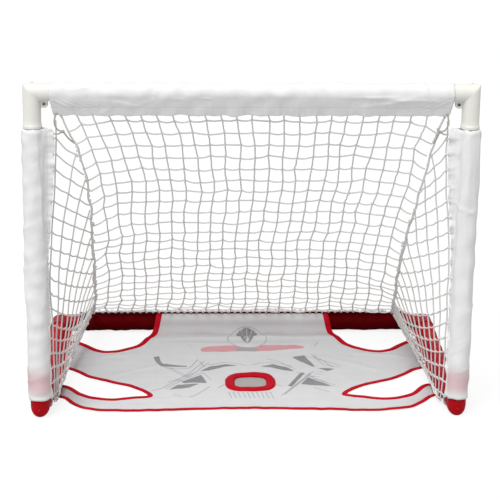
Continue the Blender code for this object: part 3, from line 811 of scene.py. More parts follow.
def sleeve(name, start, end, flap_way, radius, flap, pinch, rows, seed, finish, values=None,
           neck=0.0, slant=0.0, ruffle=1.0):
    """A cloth tube sewn to a flap. The section is carried straight along the tube, moved out by the
    creases, and its flap waves sideways more the further it stands from the tube. flap and pinch may
    vary along the tube, neck gathers the far end, and slant cuts the flap's ends back."""
    rng = np.random.default_rng(seed)
    start, end = np.array(start, float), np.array(end, float)
    length = np.linalg.norm(end - start)
    along_way = (end - start) / length
    flap_way = unit(np.array(flap_way, float))
    other_way = np.cross(along_way, flap_way)
    along = np.linspace(0, length, max(60, int(length / 0.0045)))[:, None]
    flap = flap(along) if callable(flap) else flap + 0 * along
    pinch = pinch(along) if callable(pinch) else pinch
    x, y, reach, outward = sleeve_section(radius, flap, pinch, 96)
    widest = np.argmax(flap[:, 0])
    around = np.concatenate(([0], np.cumsum(np.hypot(np.diff(x[widest]), np.diff(y[widest])))))
    edge = np.minimum(along, length - along)
    calm = smooth(0.0, 0.02, edge)
    fold = creases(along, around, rows) + 0.35 * sizes().crease * ripple(along, around, 0.05, rng)
    hem = 0.0005 * (1 - smooth(0.011, 0.0125, edge)) - 0.0005 * np.exp(-(((edge - 0.0125) / 0.001) ** 2))
    puff = fold * calm * (1 - 0.5 * reach) + hem
    puff = np.maximum(puff, -0.0008)
    waves = [ripple(along, 0 * along, size, rng) for size in (0.055, 0.020)]
    sway = reach ** 1.5 * (0.0022 * waves[0] + 0.0012 * waves[1])
    dip = 0.0016 * reach ** 2 * ripple(along, 0 * along, 0.05, rng)
    groove = -0.0004 * np.exp(-(((reach - 0.55) / 0.03) ** 2)) * (reach > 0.2)
    gather = 1 - neck * smooth(length - 0.008, length - 0.001, along)
    x_now = (x + outward[..., 0] * (puff + groove) + dip) * gather
    y_now = (y + outward[..., 1] * (puff + groove) + ruffle * sway) * gather
    drift = 0.0016 * (1 - calm) * ripple(around, 0 * around, 0.03, rng)
    cut = slant * reach * (1 - smooth(0.0, 0.07, edge))
    along_now = np.broadcast_to(along, x_now.shape) + (drift - cut) * np.sign(along - length / 2)
    points = (start + x_now[..., None] * flap_way + y_now[..., None] * other_way
              + along_now[..., None] * along_way)
    points[..., 2] = np.maximum(points[..., 2], 0.0008)
    uv = np.stack(np.broadcast_arrays(along, around), -1)
    sewn = np.maximum(np.exp(-(((edge - 0.0125) / 0.0012) ** 2)) + 0 * reach,
                      np.exp(-(((reach - 0.55) / 0.03) ** 2)) + 0 * along)
    fields = {"stitch": np.broadcast_to(sewn, x_now.shape)}
    if values:
        fields.update(values(points))
    thing = piece(f"{name}_cloth", grid(points, uv), finish, "frame", [name], closed=False,
                  values=fields, weld=1e-7)
    thickened(thing, CLOTH_THICKNESS)
    return thing


def random_creases(rng, count, length, girth, heading, spread, long_by, wide_by, high):
    """Rows for creases(), scattered over the cloth with headings about the given one."""
    return [(rng.uniform(0, length), rng.uniform(0, girth), heading + rng.normal(0, spread),
             rng.uniform(*long_by), rng.uniform(*wide_by),
             high * rng.uniform(0.3, 1.0) * rng.choice((1, 1, -0.4)))
            for _ in range(count)]


def post_blush(points):
    """The white cloth looks pink where it touches the red fitting inside it."""
    height = points[..., 2]
    share = smooth(0.055, 0.095, height) * (1 - smooth(0.108, 0.165, height))
    inside = np.abs(points[..., 0]) > HALF_SPAN - 0.030
    return {"blush": 0.80 * share * inside}


class GOAL_OT_sleeves(Operator):
    """Builds the six cloth sleeves with their sewn flaps."""

    bl_idname = "goal.sleeves"
    bl_label = "Cloth sleeves"

    def execute(self, context):
        high = sizes().crease
        white = cloth("white_nylon_cloth", colours().white_cloth, 0.5, 0.3, blush=True)
        red = cloth("red_nylon_cloth", colours().red_cloth, 0.5, 0.12)
        # Painted shade: the rear bar's sleeve gets a near-black red for the shade at the back of the goal.
        shaded_rear_nylon = cloth("dark_red_nylon_cloth", colours().shaded_rear_cloth, 0.6, 0.02)
        rng = np.random.default_rng(11)
        half = 0.538
        rows = random_creases(rng, 46, 2 * half, 0.22, 0.25, 0.5, (0.02, 0.07), (0.003, 0.008), high)
        for k in range(8):
            for mirror in (0, 1):
                place = 0.030 + 0.024 * k
                lean = 0.50 - 0.035 * k
                for ring, way in ((0.040, -1), (0.178, 1)):
                    rows.append((2 * half * mirror + (1 - 2 * mirror) * place, ring,
                                 way * (1 - 2 * mirror) * lean,
                                 0.046, 0.0044, high * (1.35 - 0.10 * k)))
        sleeve("crossbar_sleeve", (-half, FRONT_Y, TOP_Z - 0.0004), (half, FRONT_Y, TOP_Z - 0.0004),
               (0, 0, -1),
               0.0256, 0.064, 0.0, rows, 21, white, blushless, slant=0.008)
        for side, word in SIDES:
            x = side * HALF_SPAN
            rng = np.random.default_rng(31 + side)
            rows = random_creases(rng, 34, 0.765, 0.21, 0.0, 0.12, (0.06, 0.20), (0.004, 0.009), 0.9 * high)
            rows += random_creases(rng, 26, 0.765, 0.21, 0.9, 0.5, (0.02, 0.05), (0.003, 0.006), 0.7 * high)
            sleeve(f"{word}_post_sleeve", (x, FRONT_Y, POST_SLEEVE_LOW), (x, FRONT_Y, 0.8276), (-side, 0, 0),
                   POST_SLEEVE_R, lambda along: post_flap(along + POST_SLEEVE_LOW),
                   lambda along: 0.75 * smooth(0.13, 0.32, along + POST_SLEEVE_LOW), rows, 41 + side,
                   white, post_blush, neck=0.13, ruffle=2.0)
            reach = SHORT_ARM + 0.001
            rows = random_creases(rng, 30, DEPTH - 2 * reach, 0.17, 0.3, 0.6, (0.02, 0.06), (0.003, 0.006),
                                  0.7 * high)
            sleeve(f"{word}_rail_sleeve", (x, FRONT_Y + reach, BASE_Z), (x, REAR_Y - reach, BASE_Z),
                   (-side * 0.985, 0, -0.174), 0.0245, 0.043, 0.4, rows, 51 + side, red)
        half = HALF_SPAN - SHORT_ARM - 0.001
        rng = np.random.default_rng(61)
        rows = random_creases(rng, 40, 2 * half, 0.17, 0.3, 0.6, (0.02, 0.06), (0.003, 0.006), 0.7 * high)
        sleeve("rear_bar_sleeve", (-half, REAR_Y, BASE_Z), (half, REAR_Y, BASE_Z), (0, -0.174, 0.985),
               0.0245, 0.040, 0.4, rows, 62, shaded_rear_nylon)
        return {"FINISHED"}


def blushless(points):
    return {"blush": np.zeros(points.shape[:2])}


def post_flap(height):
    """How far the post's flap stands from the post's middle: full at the top, little near the floor."""
    fold = POST_SLEEVE_R ** 2 / POST_FLAP
    return fold + (POST_FLAP - fold) * (0.43 + 0.57 * smooth(0.40, 0.80, height))


def flap_tip(height):
    """Where the post's flap ends, across the goal."""
    return HALF_SPAN - post_flap(height)


# ---------------------------------------------------------------------------------------------
# Netting


def profile(t):
    """The net's side line, a cubic Bezier: distance behind the mouth and height, for t from 0 (top) to 1."""
    drop, run = NET_TOP_Z - NET_LOW_Z, DEPTH - 0.026
    corners = ((0, drop), (0.454 * 0.40, drop - 0.891 * 0.40), (run - 0.875 * 0.30, 0.485 * 0.30), (run, 0))
    share = ((1 - t) ** 3, 3 * (1 - t) ** 2 * t, 3 * (1 - t) * t * t, t ** 3)
    behind = sum(s * c[0] for s, c in zip(share, corners))
    height = sum(s * c[1] for s, c in zip(share, corners))
    return behind + 0.008, height + NET_LOW_Z


def back_surface(u, t):
    """The back net: u from -1 to 1 across it, t down it. It narrows quickly to a waist, dishes at its
    sides, and leans a little to the right in its upper part."""
    u, t = np.broadcast_arrays(np.asarray(u, float), np.asarray(t, float))
    behind, height = profile(t)
    behind = behind - NET_DISH * np.abs(u) ** 4 * np.maximum(0, np.sin(np.pi * t)) ** 0.7
    s = t ** 0.75
    half = NET_TOP_HALF + (NET_LOW_HALF - NET_TOP_HALF) * t - NET_WAIST * 4 * s * (1 - s)
    lean = 0.013 * np.exp(-(((t - 0.20) / 0.17) ** 2))
    return np.stack((u * half + lean, FRONT_Y + behind, height), -1)


def side_surface(side, q, t):
    """A side net: q from the post (0) back to the seam (1), t down it, spread outwards near the base."""
    q, t = np.broadcast_arrays(np.asarray(q, float), np.asarray(t, float))
    height = 0.846 - 0.824 * t
    post = np.stack((side * (flap_tip(height) - 0.0035), FRONT_Y + 0.0115 + 0.026 * t ** 6, height), -1)
    seam = back_surface(side, t)
    seam[..., 0] += side * (0.003 + 0.002 * t)
    point = post + q[..., None] * (seam - post)
    spread = np.maximum(0, np.sin(np.pi * q)) ** 0.6 * t ** 6
    point[..., 0] += side * 0.012 * spread
    point[..., 2] -= 0.012 * spread
    return point


def profile_rows(first, step):
    """The values of t at even steps along the side line."""
    t = np.linspace(0, 1, 401)
    behind, height = profile(t)
    length = np.concatenate(([0], np.cumsum(np.hypot(np.diff(behind), np.diff(height)))))
    return np.interp(np.arange(first, length[-1] - 0.3 * step, step), length, t)


def back_netting(rng):
    """Knots lie on the back surface, a little astray and lower by the seams. Cords run down from knot to
    knot and hang slack across, each by a parabola of its own depth."""
    mesh, columns = sizes().net_mesh, sizes().net_columns
    t = profile_rows(0.015, mesh)[:, None]
    u = np.linspace(-1, 1, columns + 1)
    drooped = t + 0.030 * np.abs(u) ** 14 * (1 - t ** 4)
    crossing = back_surface(u, drooped)
    wander = np.stack([ripple(crossing[..., 0], crossing[..., 2], 0.16, rng) for _ in range(3)], -1)
    crossing = crossing + 0.0016 * rng.normal(0, 1, crossing.shape) + wander * (0.0028, 0.0030, 0.0030)
    hem = np.stack((u * 0.512, FRONT_Y + 0 * u, HEM_Z + 0.004 + 0 * u), -1)
    border = back_surface(u * 0.97, 1 + 0 * u) + (0, 0.003, 0)
    ladder = np.concatenate((hem[None], crossing, border[None]))
    share = (np.arange(5) / 5)[None, :, None, None]
    down = (ladder[:-1, None] * (1 - share) + ladder[1:, None] * share).reshape(-1, columns + 1, 3)
    down = np.concatenate((down, ladder[-1:])).transpose(1, 0, 2)
    down = down + 0.0004 * rng.normal(0, 1, down.shape)
    share = (np.arange(7) / 7)[None, None, :, None]
    slack = rng.uniform(0.0004, 0.0042, (len(t), columns, 1, 1)) * 4 * share * (1 - share)
    lean = rng.uniform(-0.4, 0.4, (len(t), columns, 1))
    pull = np.stack((0 * lean, lean, -np.ones_like(lean)), -1)[:, :, 0][:, :, None]
    across = crossing[:, :-1, None] * (1 - share) + crossing[:, 1:, None] * share + slack * pull
    across = np.concatenate((across.reshape(len(t), -1, 3), crossing[:, -1:]), 1)
    radius = sizes().net_cord / 2
    return joined([tubes(down[1:-1], radius, 5, (1, 0, 0)), tubes(across, radius, 5, (0, 0.7, 0.7)),
                   knots(crossing[:, 1:-1].reshape(-1, 3), radius * 1.6, rng)])


def drawn(t):
    """How far apart the side net's upright cords stay, of one mesh."""
    return 0.60 + 0.40 * smooth(0.05, 0.50, t)


def side_netting(side, rng):
    """Rows start at the post's flap, one mesh apart, and fall towards the seam, more so lower down, by
    t = t0 + q (0.055 + 1.1 (t0 - 0.35)^1.7). Upright cords start at the seam, one mesh further back
    each, and hang to the base; near the top they are drawn together. Knots sit where they cross."""
    mesh = sizes().net_mesh
    radius = sizes().net_cord / 2
    front = FRONT_Y + 0.0115
    t_post = np.arange(0.060, 0.97, mesh / 0.824)[:, None]
    fall = np.minimum(0.055 + 1.1 * np.maximum(t_post - 0.35, 0) ** 1.7, 0.22)
    q = np.minimum(1, (1 - t_post) / fall) * np.linspace(0, 1, 96)
    t_row = np.minimum(t_post + fall * q, 1.0)
    flat = side_surface(side, q, t_row)
    depth = (flat[..., 1] - front) / drawn(t_row)
    wave = np.sin(np.pi * (depth / mesh + rng.uniform(-0.1, 0.1, (len(flat), 1)))) ** 2
    rows = flat.copy()
    rows[..., 2] -= rng.uniform(0.001, 0.005, (len(rows), 1)) * wave
    rows[..., 0] += side * 0.0025 * wave * rng.uniform(-1, 1, (len(rows), 1))
    height = flat[:, :1, 2]
    tip = np.stack((side * flap_tip(height), FRONT_Y - 0.0005 + 0 * height, height + 0.002), -1)
    hook = tip + (side * 0.0045, -0.0030, 0.002)
    rows = np.concatenate((hook, tip, rows), 1)
    t_all = np.linspace(0.0, 1.0, 300)
    depth_all = (side_surface(side, 1.0, t_all)[:, 1] - front) / drawn(t_all)
    places = np.arange(0.0, depth_all[-1] - 0.1 * mesh, mesh)[:, None]
    start = np.interp(places, depth_all, t_all)
    start[0] = 0.0
    t_down = start + (1 - start) * np.linspace(0, 1, 90)
    room = np.maximum(side_surface(side, 1.0, t_down)[..., 1] - front, 1e-3) / drawn(t_down)
    columns = side_surface(side, np.clip(places / room, 0, 1), t_down)
    columns = columns + 0.0014 * np.stack([ripple(t_down, places, 0.16, rng) for _ in range(3)], -1)
    centres = []
    for line, along in zip(flat, depth):
        met = places[places < along[-1]]
        centres.append(np.stack([np.interp(met, along, line[:, k]) for k in range(3)], -1))
    k = np.arange(9)[:, None]
    share = np.linspace(0, 1, 24)
    gathered = side_surface(side, (0.62 + 0.04 * k) * (1 - share) + 0.995 * share,
                            1 - share * (0.19 - 0.018 * k))
    return joined([tubes(rows, radius, 5, (0.3, 0, 0.95)), tubes(columns, radius, 5, (0, 1, 0.1)),
                   tubes(gathered, radius, 5, (0.3, 0, 0.95)),
                   knots(np.concatenate(centres), radius * 1.6, rng)])


def bundle(line, reach, wraps, rng, count=6):
    """Cords wound loosely about a line, the bundle swelling and thinning along its length."""
    share = np.linspace(0, 1, len(line))
    tangent = unit(np.gradient(line, axis=0))
    across = unit(np.cross(tangent, (1, 0.2, 0)))
    other = np.cross(tangent, across)
    drift = np.stack([ripple(share, 0 * share, 0.07, rng) for _ in range(3)], -1)
    strands = []
    for k in range(count):
        turn = TURN * (k / count + wraps * share) + 0.9 * ripple(share, 0 * share, 0.2, rng)
        out = reach * (1 + 0.5 * ripple(share, 0 * share + k, 0.09, rng))
        strands.append(line + 0.0018 * drift + out[:, None] * (np.cos(turn)[:, None] * across
                                                              + np.sin(turn)[:, None] * other))
    return tubes(strands, sizes().net_cord / 2, 6, (1, 0.2, 0))


def seam_bundle(side, rng):
    """The gathered edge where the back and side nets are laced together, thin at the top and thick at
    the base, with knots in it."""
    t = np.linspace(0.0, 1.0, 260)
    line = back_surface(side, t)
    line[:, 0] += side * (0.0015 + 0.001 * t)
    hem = np.array((side * 0.512, FRONT_Y, HEM_Z + 0.004))
    line = np.concatenate((hem + (line[0] - hem) * np.linspace(0, 1, 9)[:-1, None], line))
    t = np.concatenate((np.zeros(8), t))
    wander = 0.0035 * (1 - t) * smooth(0.0, 0.1, t)
    line[:, 0] += wander * ripple(t, 0 * t, 0.08, rng)
    reach = 0.0007 + 0.0015 * smooth(0.15, 0.6, t) + 0.0012 * smooth(0.75, 1.0, t)
    places = np.sort(rng.uniform(0.03, 0.99, 30))
    lumps = back_surface(side, places) + rng.normal(0, 0.0015, (30, 3))
    return joined([bundle(line, reach, 5.5, rng), knots(lumps, sizes().net_cord * 0.95, rng)])


class GOAL_OT_netting(Operator):
    """Builds the back net, the two side nets and their gathered seams."""

    bl_idname = "goal.netting"
    bl_label = "Netting"

    def execute(self, context):
        finish = cord_finish("netting_twine", colours().cord, 0.0030, 0.25)
        piece("net_back_twine", back_netting(np.random.default_rng(71)), finish, "frame",
              ["net_back"])
        for side, word in SIDES:
            rng = np.random.default_rng(81 + side)
            piece(f"net_{word}_twine", side_netting(side, rng), finish, "frame", [f"net_{word}"])
            piece(f"net_{word}_seam", seam_bundle(side, rng), finish, "frame")
        return {"FINISHED"}


# ---------------------------------------------------------------------------------------------
# Ropes, lacing and ties


def rope(line, radius, reference, count=None):
    """A three-strand rope along a line."""
    line = spaced(line, count or max(24, int(len(line) * 3)))
    return tubes([line], radius, 12, reference, lobes=0.14, twist=TURN / 0.030)


def spiral(line, first, second, radius, turns, reference, samples=14):
    """Lacing wound round a line: at each turn it goes once round the oval that spans the two offsets."""
    share = np.linspace(0, 1, turns * samples)
    base, near, far = (
        np.stack([np.interp(share, np.linspace(0, 1, len(route)), route[:, k]) for k in range(3)], -1)
        for route in (line, first, second))
    angle = TURN * turns * share
    path = base + np.cos(angle)[:, None] * near + np.sin(angle)[:, None] * far
    return tubes([path], radius, 6, reference)


def lump(centre, radius, rng):
    """A tied knot: three small loops of cord drawn up about one place."""
    angle = np.linspace(0, TURN, 25)
    loops = []
    for _ in range(3):
        one = unit(rng.normal(0, 1, 3))
        two = unit(np.cross(one, rng.normal(0, 1, 3)))
        loops.append(centre + radius * (np.cos(angle)[:, None] * one + np.sin(angle)[:, None] * two))
    return loops


class GOAL_OT_cords(Operator):
    """Builds the border ropes, their lacing, and the ties at the feet and top corners."""

    bl_idname = "goal.cords"
    bl_label = "Ropes and ties"

    def execute(self, context):
        finish = cord_finish("braided_border_rope", colours().cord, 0.0045, 0.6)
        darker = cord_finish("corner_tie_cord", colours().tie, 0.0045, 0.6)
        thin = sizes().net_cord / 2
        thick = sizes().rope / 2
        u = np.linspace(-0.97, 0.97, 90)
        line = back_surface(u, 1 + 0 * u) + (0, 0.0045, 0.0005)
        flap = np.array([(0, 0.0055, -0.0028)])
        lacing = spiral(line + (0, 0.0025, -0.0010), flap * 1.25, np.array([(0, 0.0012, 0.0042)]), thin,
                        REAR_LACES, (1, 0, 0))
        piece("rear_rope_laid", joined([rope(line, thick, (0, 0, 1), 420), lacing]), finish, "frame",
              ["rear_rope"])
        for side, word in SIDES:
            rng = np.random.default_rng(91 + side)
            q = np.linspace(0.03, 0.97, 60)
            line = side_surface(side, q, 1 + 0 * q) - (side * 0.0035, 0, 0.0030)
            border = rope(line, thick, (0, 0, 1), 260)
            strand = spaced(line, 200)
            far = strand.copy()
            far[:, 0], far[:, 2] = side * RAIL_HEM_X, RAIL_HEM_Z
            turn = TURN * RAIL_LACES * np.linspace(0, 1, 200)
            zigzag = strand + (far - strand) * (0.5 - 0.5 * np.cos(turn))[:, None]
            zigzag[:, 2] += 0.003 * np.sin(turn)
            selvedge = bundle(strand + (0, 0, 0.0030), 0.0018 + 0 * turn, 6, rng, 3)
            laces = tubes([zigzag[6:-2]], thin, 6, (0.1, 0.3, 1))
            piece(f"{word}_rail_rope_laid", joined([border, laces, selvedge]), finish, "frame",
                  [f"{word}_rail_rope"])
            x = side * HALF_SPAN
            reach = BASE_FITTING_R + 0.0026
            angle = np.linspace(-0.70, 2.4, 60)
            arc = np.stack((x - side * reach * np.cos(angle), FRONT_Y + 0.042 + 0 * angle,
                            BASE_Z + reach * np.sin(angle)), -1)
            again = arc + (0, 0.0042, 0)
            foot = [rope(arc, thick, (0, 1, 0), 90), rope(again, thick, (0, 1, 0), 90)]
            knot = lump(arc[0] + (-side * 0.002, 0.002, 0.006), 0.0042, rng)
            foot.append(tubes(knot, thick * 0.8, 8, (0.2, 0.3, 0.9)))
            piece(f"{word}_foot_tie_laid", joined(foot), finish, "frame", [f"{word}_foot_tie"])
            corner = corner_tie_line(side)
            loops = tubes(lump(corner[-1], 0.0034, rng), thick * 0.75, 8, (0.2, 0.9, 0.3))
            tails = [smooth_line([corner[-1], (corner[-1] + end) / 2 + (0, 0.001, -0.004), end], 12)
                     for end in (back_surface(side, 0.075),
                                 np.array((side * 0.5300, FRONT_Y - 0.001, 0.8120)))]
            tied = [rope(smooth_line(corner), thick, (0, 1, 0.1), 70), loops,
                    tubes(tails, thin, 6, (0, 1, 0.1))]
            piece(f"{word}_corner_tie_laid", joined(tied), darker, "frame", [f"{word}_corner_tie"])
        return {"FINISHED"}


def corner_tie_line(side):
    """The cord from the crossbar flap's corner down to the top of the post's flap."""
    return np.array([(side * 0.5200, FRONT_Y - 0.0040, 0.8690), (side * 0.5245, FRONT_Y - 0.0042, 0.8600),
                     (side * 0.5265, FRONT_Y - 0.0038, 0.8400), (side * 0.5185, FRONT_Y - 0.0010, 0.8230),
                     (side * 0.5050, FRONT_Y + 0.0020, 0.8178)])


# ---------------------------------------------------------------------------------------------
# Shooting target


def target_outline():
    """The target's right half: front edge, side notch and far corner, each a smooth line, in metres
    across and behind the mouth. The far corner's line goes on up the side of the lip."""
    front = smooth_line([(0, 0.0345), (0.12, 0.0350), (0.26, 0.0260), (0.39, 0.0240), (0.452, 0.0360),
                         (0.492, 0.0700), (0.520, 0.1080), (0.543, 0.1260)])
    notch = smooth_line([(0.543, 0.1930), (0.525, 0.1820), (0.487, 0.1300), (0.443, 0.1010), (0.385, 0.0930),
                         (0.330, 0.1070), (0.288, 0.1130), (0.277, 0.1260), (0.290, 0.1540), (0.340, 0.2000),
                         (0.400, 0.2320), (0.460, 0.2700), (0.506, 0.3180), (0.543, 0.3400)])
    corner = smooth_line([(0.543, 0.5380), (0.525, 0.5340), (0.490, 0.5000), (0.455, 0.4660), (0.410, 0.4560),
                          (0.360, 0.4780), (0.318, 0.5160), (0.296, 0.5700), (LIP_HALF_WIDTH + 0.006, LIP_Y),
                          (LIP_HALF_WIDTH - 0.008, LIP_END)])
    return front, notch, corner


def centre_loop(half_x, half_y, count=96):
    """A rounded box: cosine and sine, each with its size raised to the power 0.7."""
    angle = np.linspace(0, TURN, count, endpoint=False)
    squared = [np.sign(f(angle)) * np.abs(f(angle)) ** 0.7 for f in (np.cos, np.sin)]
    return np.stack((HOLE_X + half_x * squared[0], HOLE_Y + half_y * squared[1]), -1)


def mirrored(line):
    return line[::-1] * (-1, 1)


def to_outline(points, loop):
    """Each point's nearest place on a closed outline, and whether the point is inside it (even-odd)."""
    ends = np.roll(loop, -1, 0)
    span = ends - loop
    best = np.full(len(points), np.inf)
    nearest = points.copy()
    inside = np.zeros(len(points), bool)
    for start, end, step in zip(loop, ends, span):
        share = np.clip(((points - start) @ step) / max(step @ step, 1e-12), 0, 1)
        place = start + share[:, None] * step
        distance = np.linalg.norm(points - place, axis=1)
        closer = distance < best
        best[closer], nearest[closer] = distance[closer], place[closer]
        straddles = (start[1] > points[:, 1]) != (end[1] > points[:, 1])
        if straddles.any():
            crossing = start[0] + (points[:, 1] - start[1]) * step[0] / (step[1] if step[1] else 1e-12)
            inside ^= straddles & (points[:, 0] < crossing)
    return nearest, best, inside


LIP_ROUTE = np.array([(LIP_START, 0.0), (0.600, 0.0003), (0.613, 0.0016), (0.622, 0.0062), (0.6285, 0.0140),
                      (0.6318, 0.0230), (0.6335, 0.0320), (0.6368, 0.0405), (0.6420, 0.0465),
                      (0.6458, 0.0520),
                      (0.6488, 0.0575)])


def sheet_place(x, s):
    """Where the flat cloth's point (x, s) lies: on the floor with soft folds, and past s = 0.585 up the
    lip's route against the rear bar. The folds' height is noise, a swell before the bar, never below 0."""
    rng = np.random.default_rng(101)
    route = smooth_line(LIP_ROUTE, 12)
    distance = LIP_START + np.concatenate(([0], np.cumsum(np.hypot(*np.diff(route, axis=0).T))))
    y = np.where(s < LIP_START, s, np.interp(s, distance, route[:, 0]))
    rise = np.where(s < LIP_START, 0.0, np.interp(s, distance, route[:, 1]))
    folds = 0.0011 * ripple(x, s, 0.17, rng) + 0.0006 * ripple(x, s, 0.06, rng)
    folds += creases(x, s, [(-0.30, 0.33, 0.5, 0.10, 0.010, 0.0022), (0.33, 0.36, -0.6, 0.11, 0.011, 0.0024),
                            (0.02, 0.575, 0.02, 0.26, 0.013, 0.0070),
                            (-0.12, 0.535, -0.06, 0.14, 0.010, 0.0026),
                            (0.10, 0.47, 0.12, 0.16, 0.012, 0.0016), (-0.42, 0.42, 0.25, 0.09, 0.012, 0.0030),
                            (0.43, 0.43, -0.2, 0.09, 0.012, 0.0030), (-0.22, 0.10, 0.1, 0.12, 0.010, 0.0014),
                            (0.21, 0.52, 1.3, 0.06, 0.008, 0.0018), (-0.17, 0.50, 1.8, 0.06, 0.008, 0.0018),
                            (0.0, 0.03, 0.0, 0.30, 0.006, 0.0010)])
    lift = np.maximum(folds + 0.0012, 0.0) * (1 - smooth(0.60, 0.63, s)) + 0.0010
    return np.stack((x, FRONT_Y + y, 0.0010 + lift + rise), -1)


def shape_distance(x, y, corners):
    """Signed distance to a closed polygon, negative inside it."""
    _, best, inside = to_outline(np.stack((x.ravel(), y.ravel()), -1), np.array(corners, float))
    return np.where(inside, -best, best).reshape(x.shape)


def stroke_distance(x, y, line, half):
    """Distance to the outside of a line drawn with a pen of the given half width."""
    points = np.stack((x.ravel(), y.ravel()), -1)
    line = np.array(line, float)
    best = np.full(len(points), np.inf)
    for start, end in zip(line[:-1], line[1:]):
        step = end - start
        share = np.clip(((points - start) @ step) / (step @ step), 0, 1)
        best = np.minimum(best, np.linalg.norm(points - start - share[:, None] * step, axis=1))
    return best.reshape(x.shape) - half


def figure_print(x, y):
    """A plain goalkeeper figure: mask, chin, pads, gloves and stick, as distances to its shapes."""
    curve = np.linspace(0, TURN, 33)
    head = np.stack((0.0125 + 0.061 * np.cos(curve), 0.567 + 0.072 * np.sin(curve)), -1)
    ink = [
        [(-0.0225, 0.606), (-0.0095, 0.628), (0.0125, 0.637), (0.0345, 0.628), (0.0475, 0.606),
         (0.0125, 0.523)],
        [(-0.140, 0.300), (-0.105, 0.345), (-0.060, 0.362), (-0.020, 0.352), (-0.066, 0.340),
         (-0.110, 0.312)],
        [(0.045, 0.340), (0.085, 0.358), (0.125, 0.335), (0.148, 0.304), (0.118, 0.308), (0.080, 0.330)],
        [(-0.280, 0.420), (-0.263, 0.425), (-0.257, 0.382), (-0.250, 0.366), (-0.214, 0.353), (-0.176, 0.348),
         (-0.176, 0.340), (-0.218, 0.338), (-0.258, 0.347), (-0.273, 0.382)],
        [(-0.194, 0.225), (-0.134, 0.275), (-0.117, 0.215), (-0.184, 0.212)],
        [(-0.229, 0.165), (-0.203, 0.200), (-0.139, 0.208), (-0.167, 0.180)],
        [(0.1457, 0.413), (0.185, 0.430), (0.2127, 0.335), (0.1995, 0.342)],
        [(0.215, 0.325), (0.270, 0.318), (0.245, 0.300)],
        [(0.120, 0.190), (0.132, 0.185), (0.178, 0.290), (0.165, 0.296)],
        [(0.160, 0.205), (0.185, 0.258), (0.250, 0.190), (0.205, 0.195)],
    ]
    dark = np.min([shape_distance(x, y, corners) for corners in ink], 0)
    gaps = [[(0.0125, 0.535), (0.0125 + 0.030 * way, 0.632)] for way in (-0.6, 0.0, 0.6)]
    dark = np.maximum(dark, -np.min([stroke_distance(x, y, line, 0.0014) for line in gaps], 0))
    lines = [
        list(head), [(-0.247, 0.340), (-0.209, 0.322), (-0.169, 0.330), (-0.144, 0.400)],
        [(-0.124, 0.385), (-0.164, 0.300), (-0.249, 0.175), (-0.279, 0.160)],
        [(-0.109, 0.190), (-0.149, 0.130), (-0.169, 0.110)],
        [(-0.124, 0.340), (-0.139, 0.385)], [(0.070, 0.400), (0.105, 0.380), (0.150, 0.320)],
        [(0.205, 0.440), (0.232, 0.400), (0.262, 0.335)], [(0.190, 0.425), (0.290, 0.345)],
        [(0.110, 0.130), (0.205, 0.300)], [(0.185, 0.275), (0.255, 0.185)], [(0.195, 0.180), (0.240, 0.150)],
        [(0.086, 0.205), (0.106, 0.185)], [(-0.064, 0.205), (-0.084, 0.180)],
        [(0.222, 0.505), (0.236, 0.540)], [(-0.214, 0.130), (-0.194, 0.122)],
        [(-0.110, 0.375), (-0.150, 0.296), (-0.238, 0.172)],
        [(-0.205, 0.232), (-0.128, 0.292), (-0.104, 0.236)],
        [(-0.232, 0.222), (-0.145, 0.300)], [(0.100, 0.122), (0.194, 0.290)],
        [(0.152, 0.300), (0.262, 0.196)],
        [(0.020, 0.350), (0.044, 0.366), (0.090, 0.372), (0.140, 0.345)],
        [(0.002, 0.350), (-0.020, 0.366), (-0.064, 0.376), (-0.112, 0.356)],
        [(0.210, 0.432), (0.238, 0.352), (0.286, 0.330)],
    ]
    lines += [[(-0.055 + 0.0135 * k, 0.145), (-0.047 + 0.0135 * k, 0.104)] for k in range(10)]
    lines += [[(-0.240 + 0.011 * k, 0.330 - 0.013 * k), (-0.218 + 0.011 * k, 0.322 - 0.013 * k)]
              for k in range(6)]
    lines += [[(0.214 - 0.009 * k, 0.300 - 0.017 * k), (0.236 - 0.009 * k, 0.292 - 0.017 * k)]
              for k in range(5)]
    chin = shape_distance(x, y, [(-0.032, 0.492), (0.048, 0.492), (0.036, 0.462), (-0.020, 0.462)])
    fine = np.min([chin] + [stroke_distance(x, y, line, 0.0019) for line in lines], 0)
    band = [(-0.1365, 0.478), (-0.1300, 0.497), (-0.1100, 0.506), (-0.0600, 0.510), (0.0700, 0.514),
            (0.1600, 0.514), (0.1850, 0.507), (0.1900, 0.497), (0.1820, 0.487), (0.1500, 0.477),
            (0.0700, 0.464),
            (-0.0600, 0.458), (-0.1150, 0.457), (-0.1310, 0.464)]
    return dark, fine, np.maximum(shape_distance(x, y, band), -shape_distance(x, y, head))


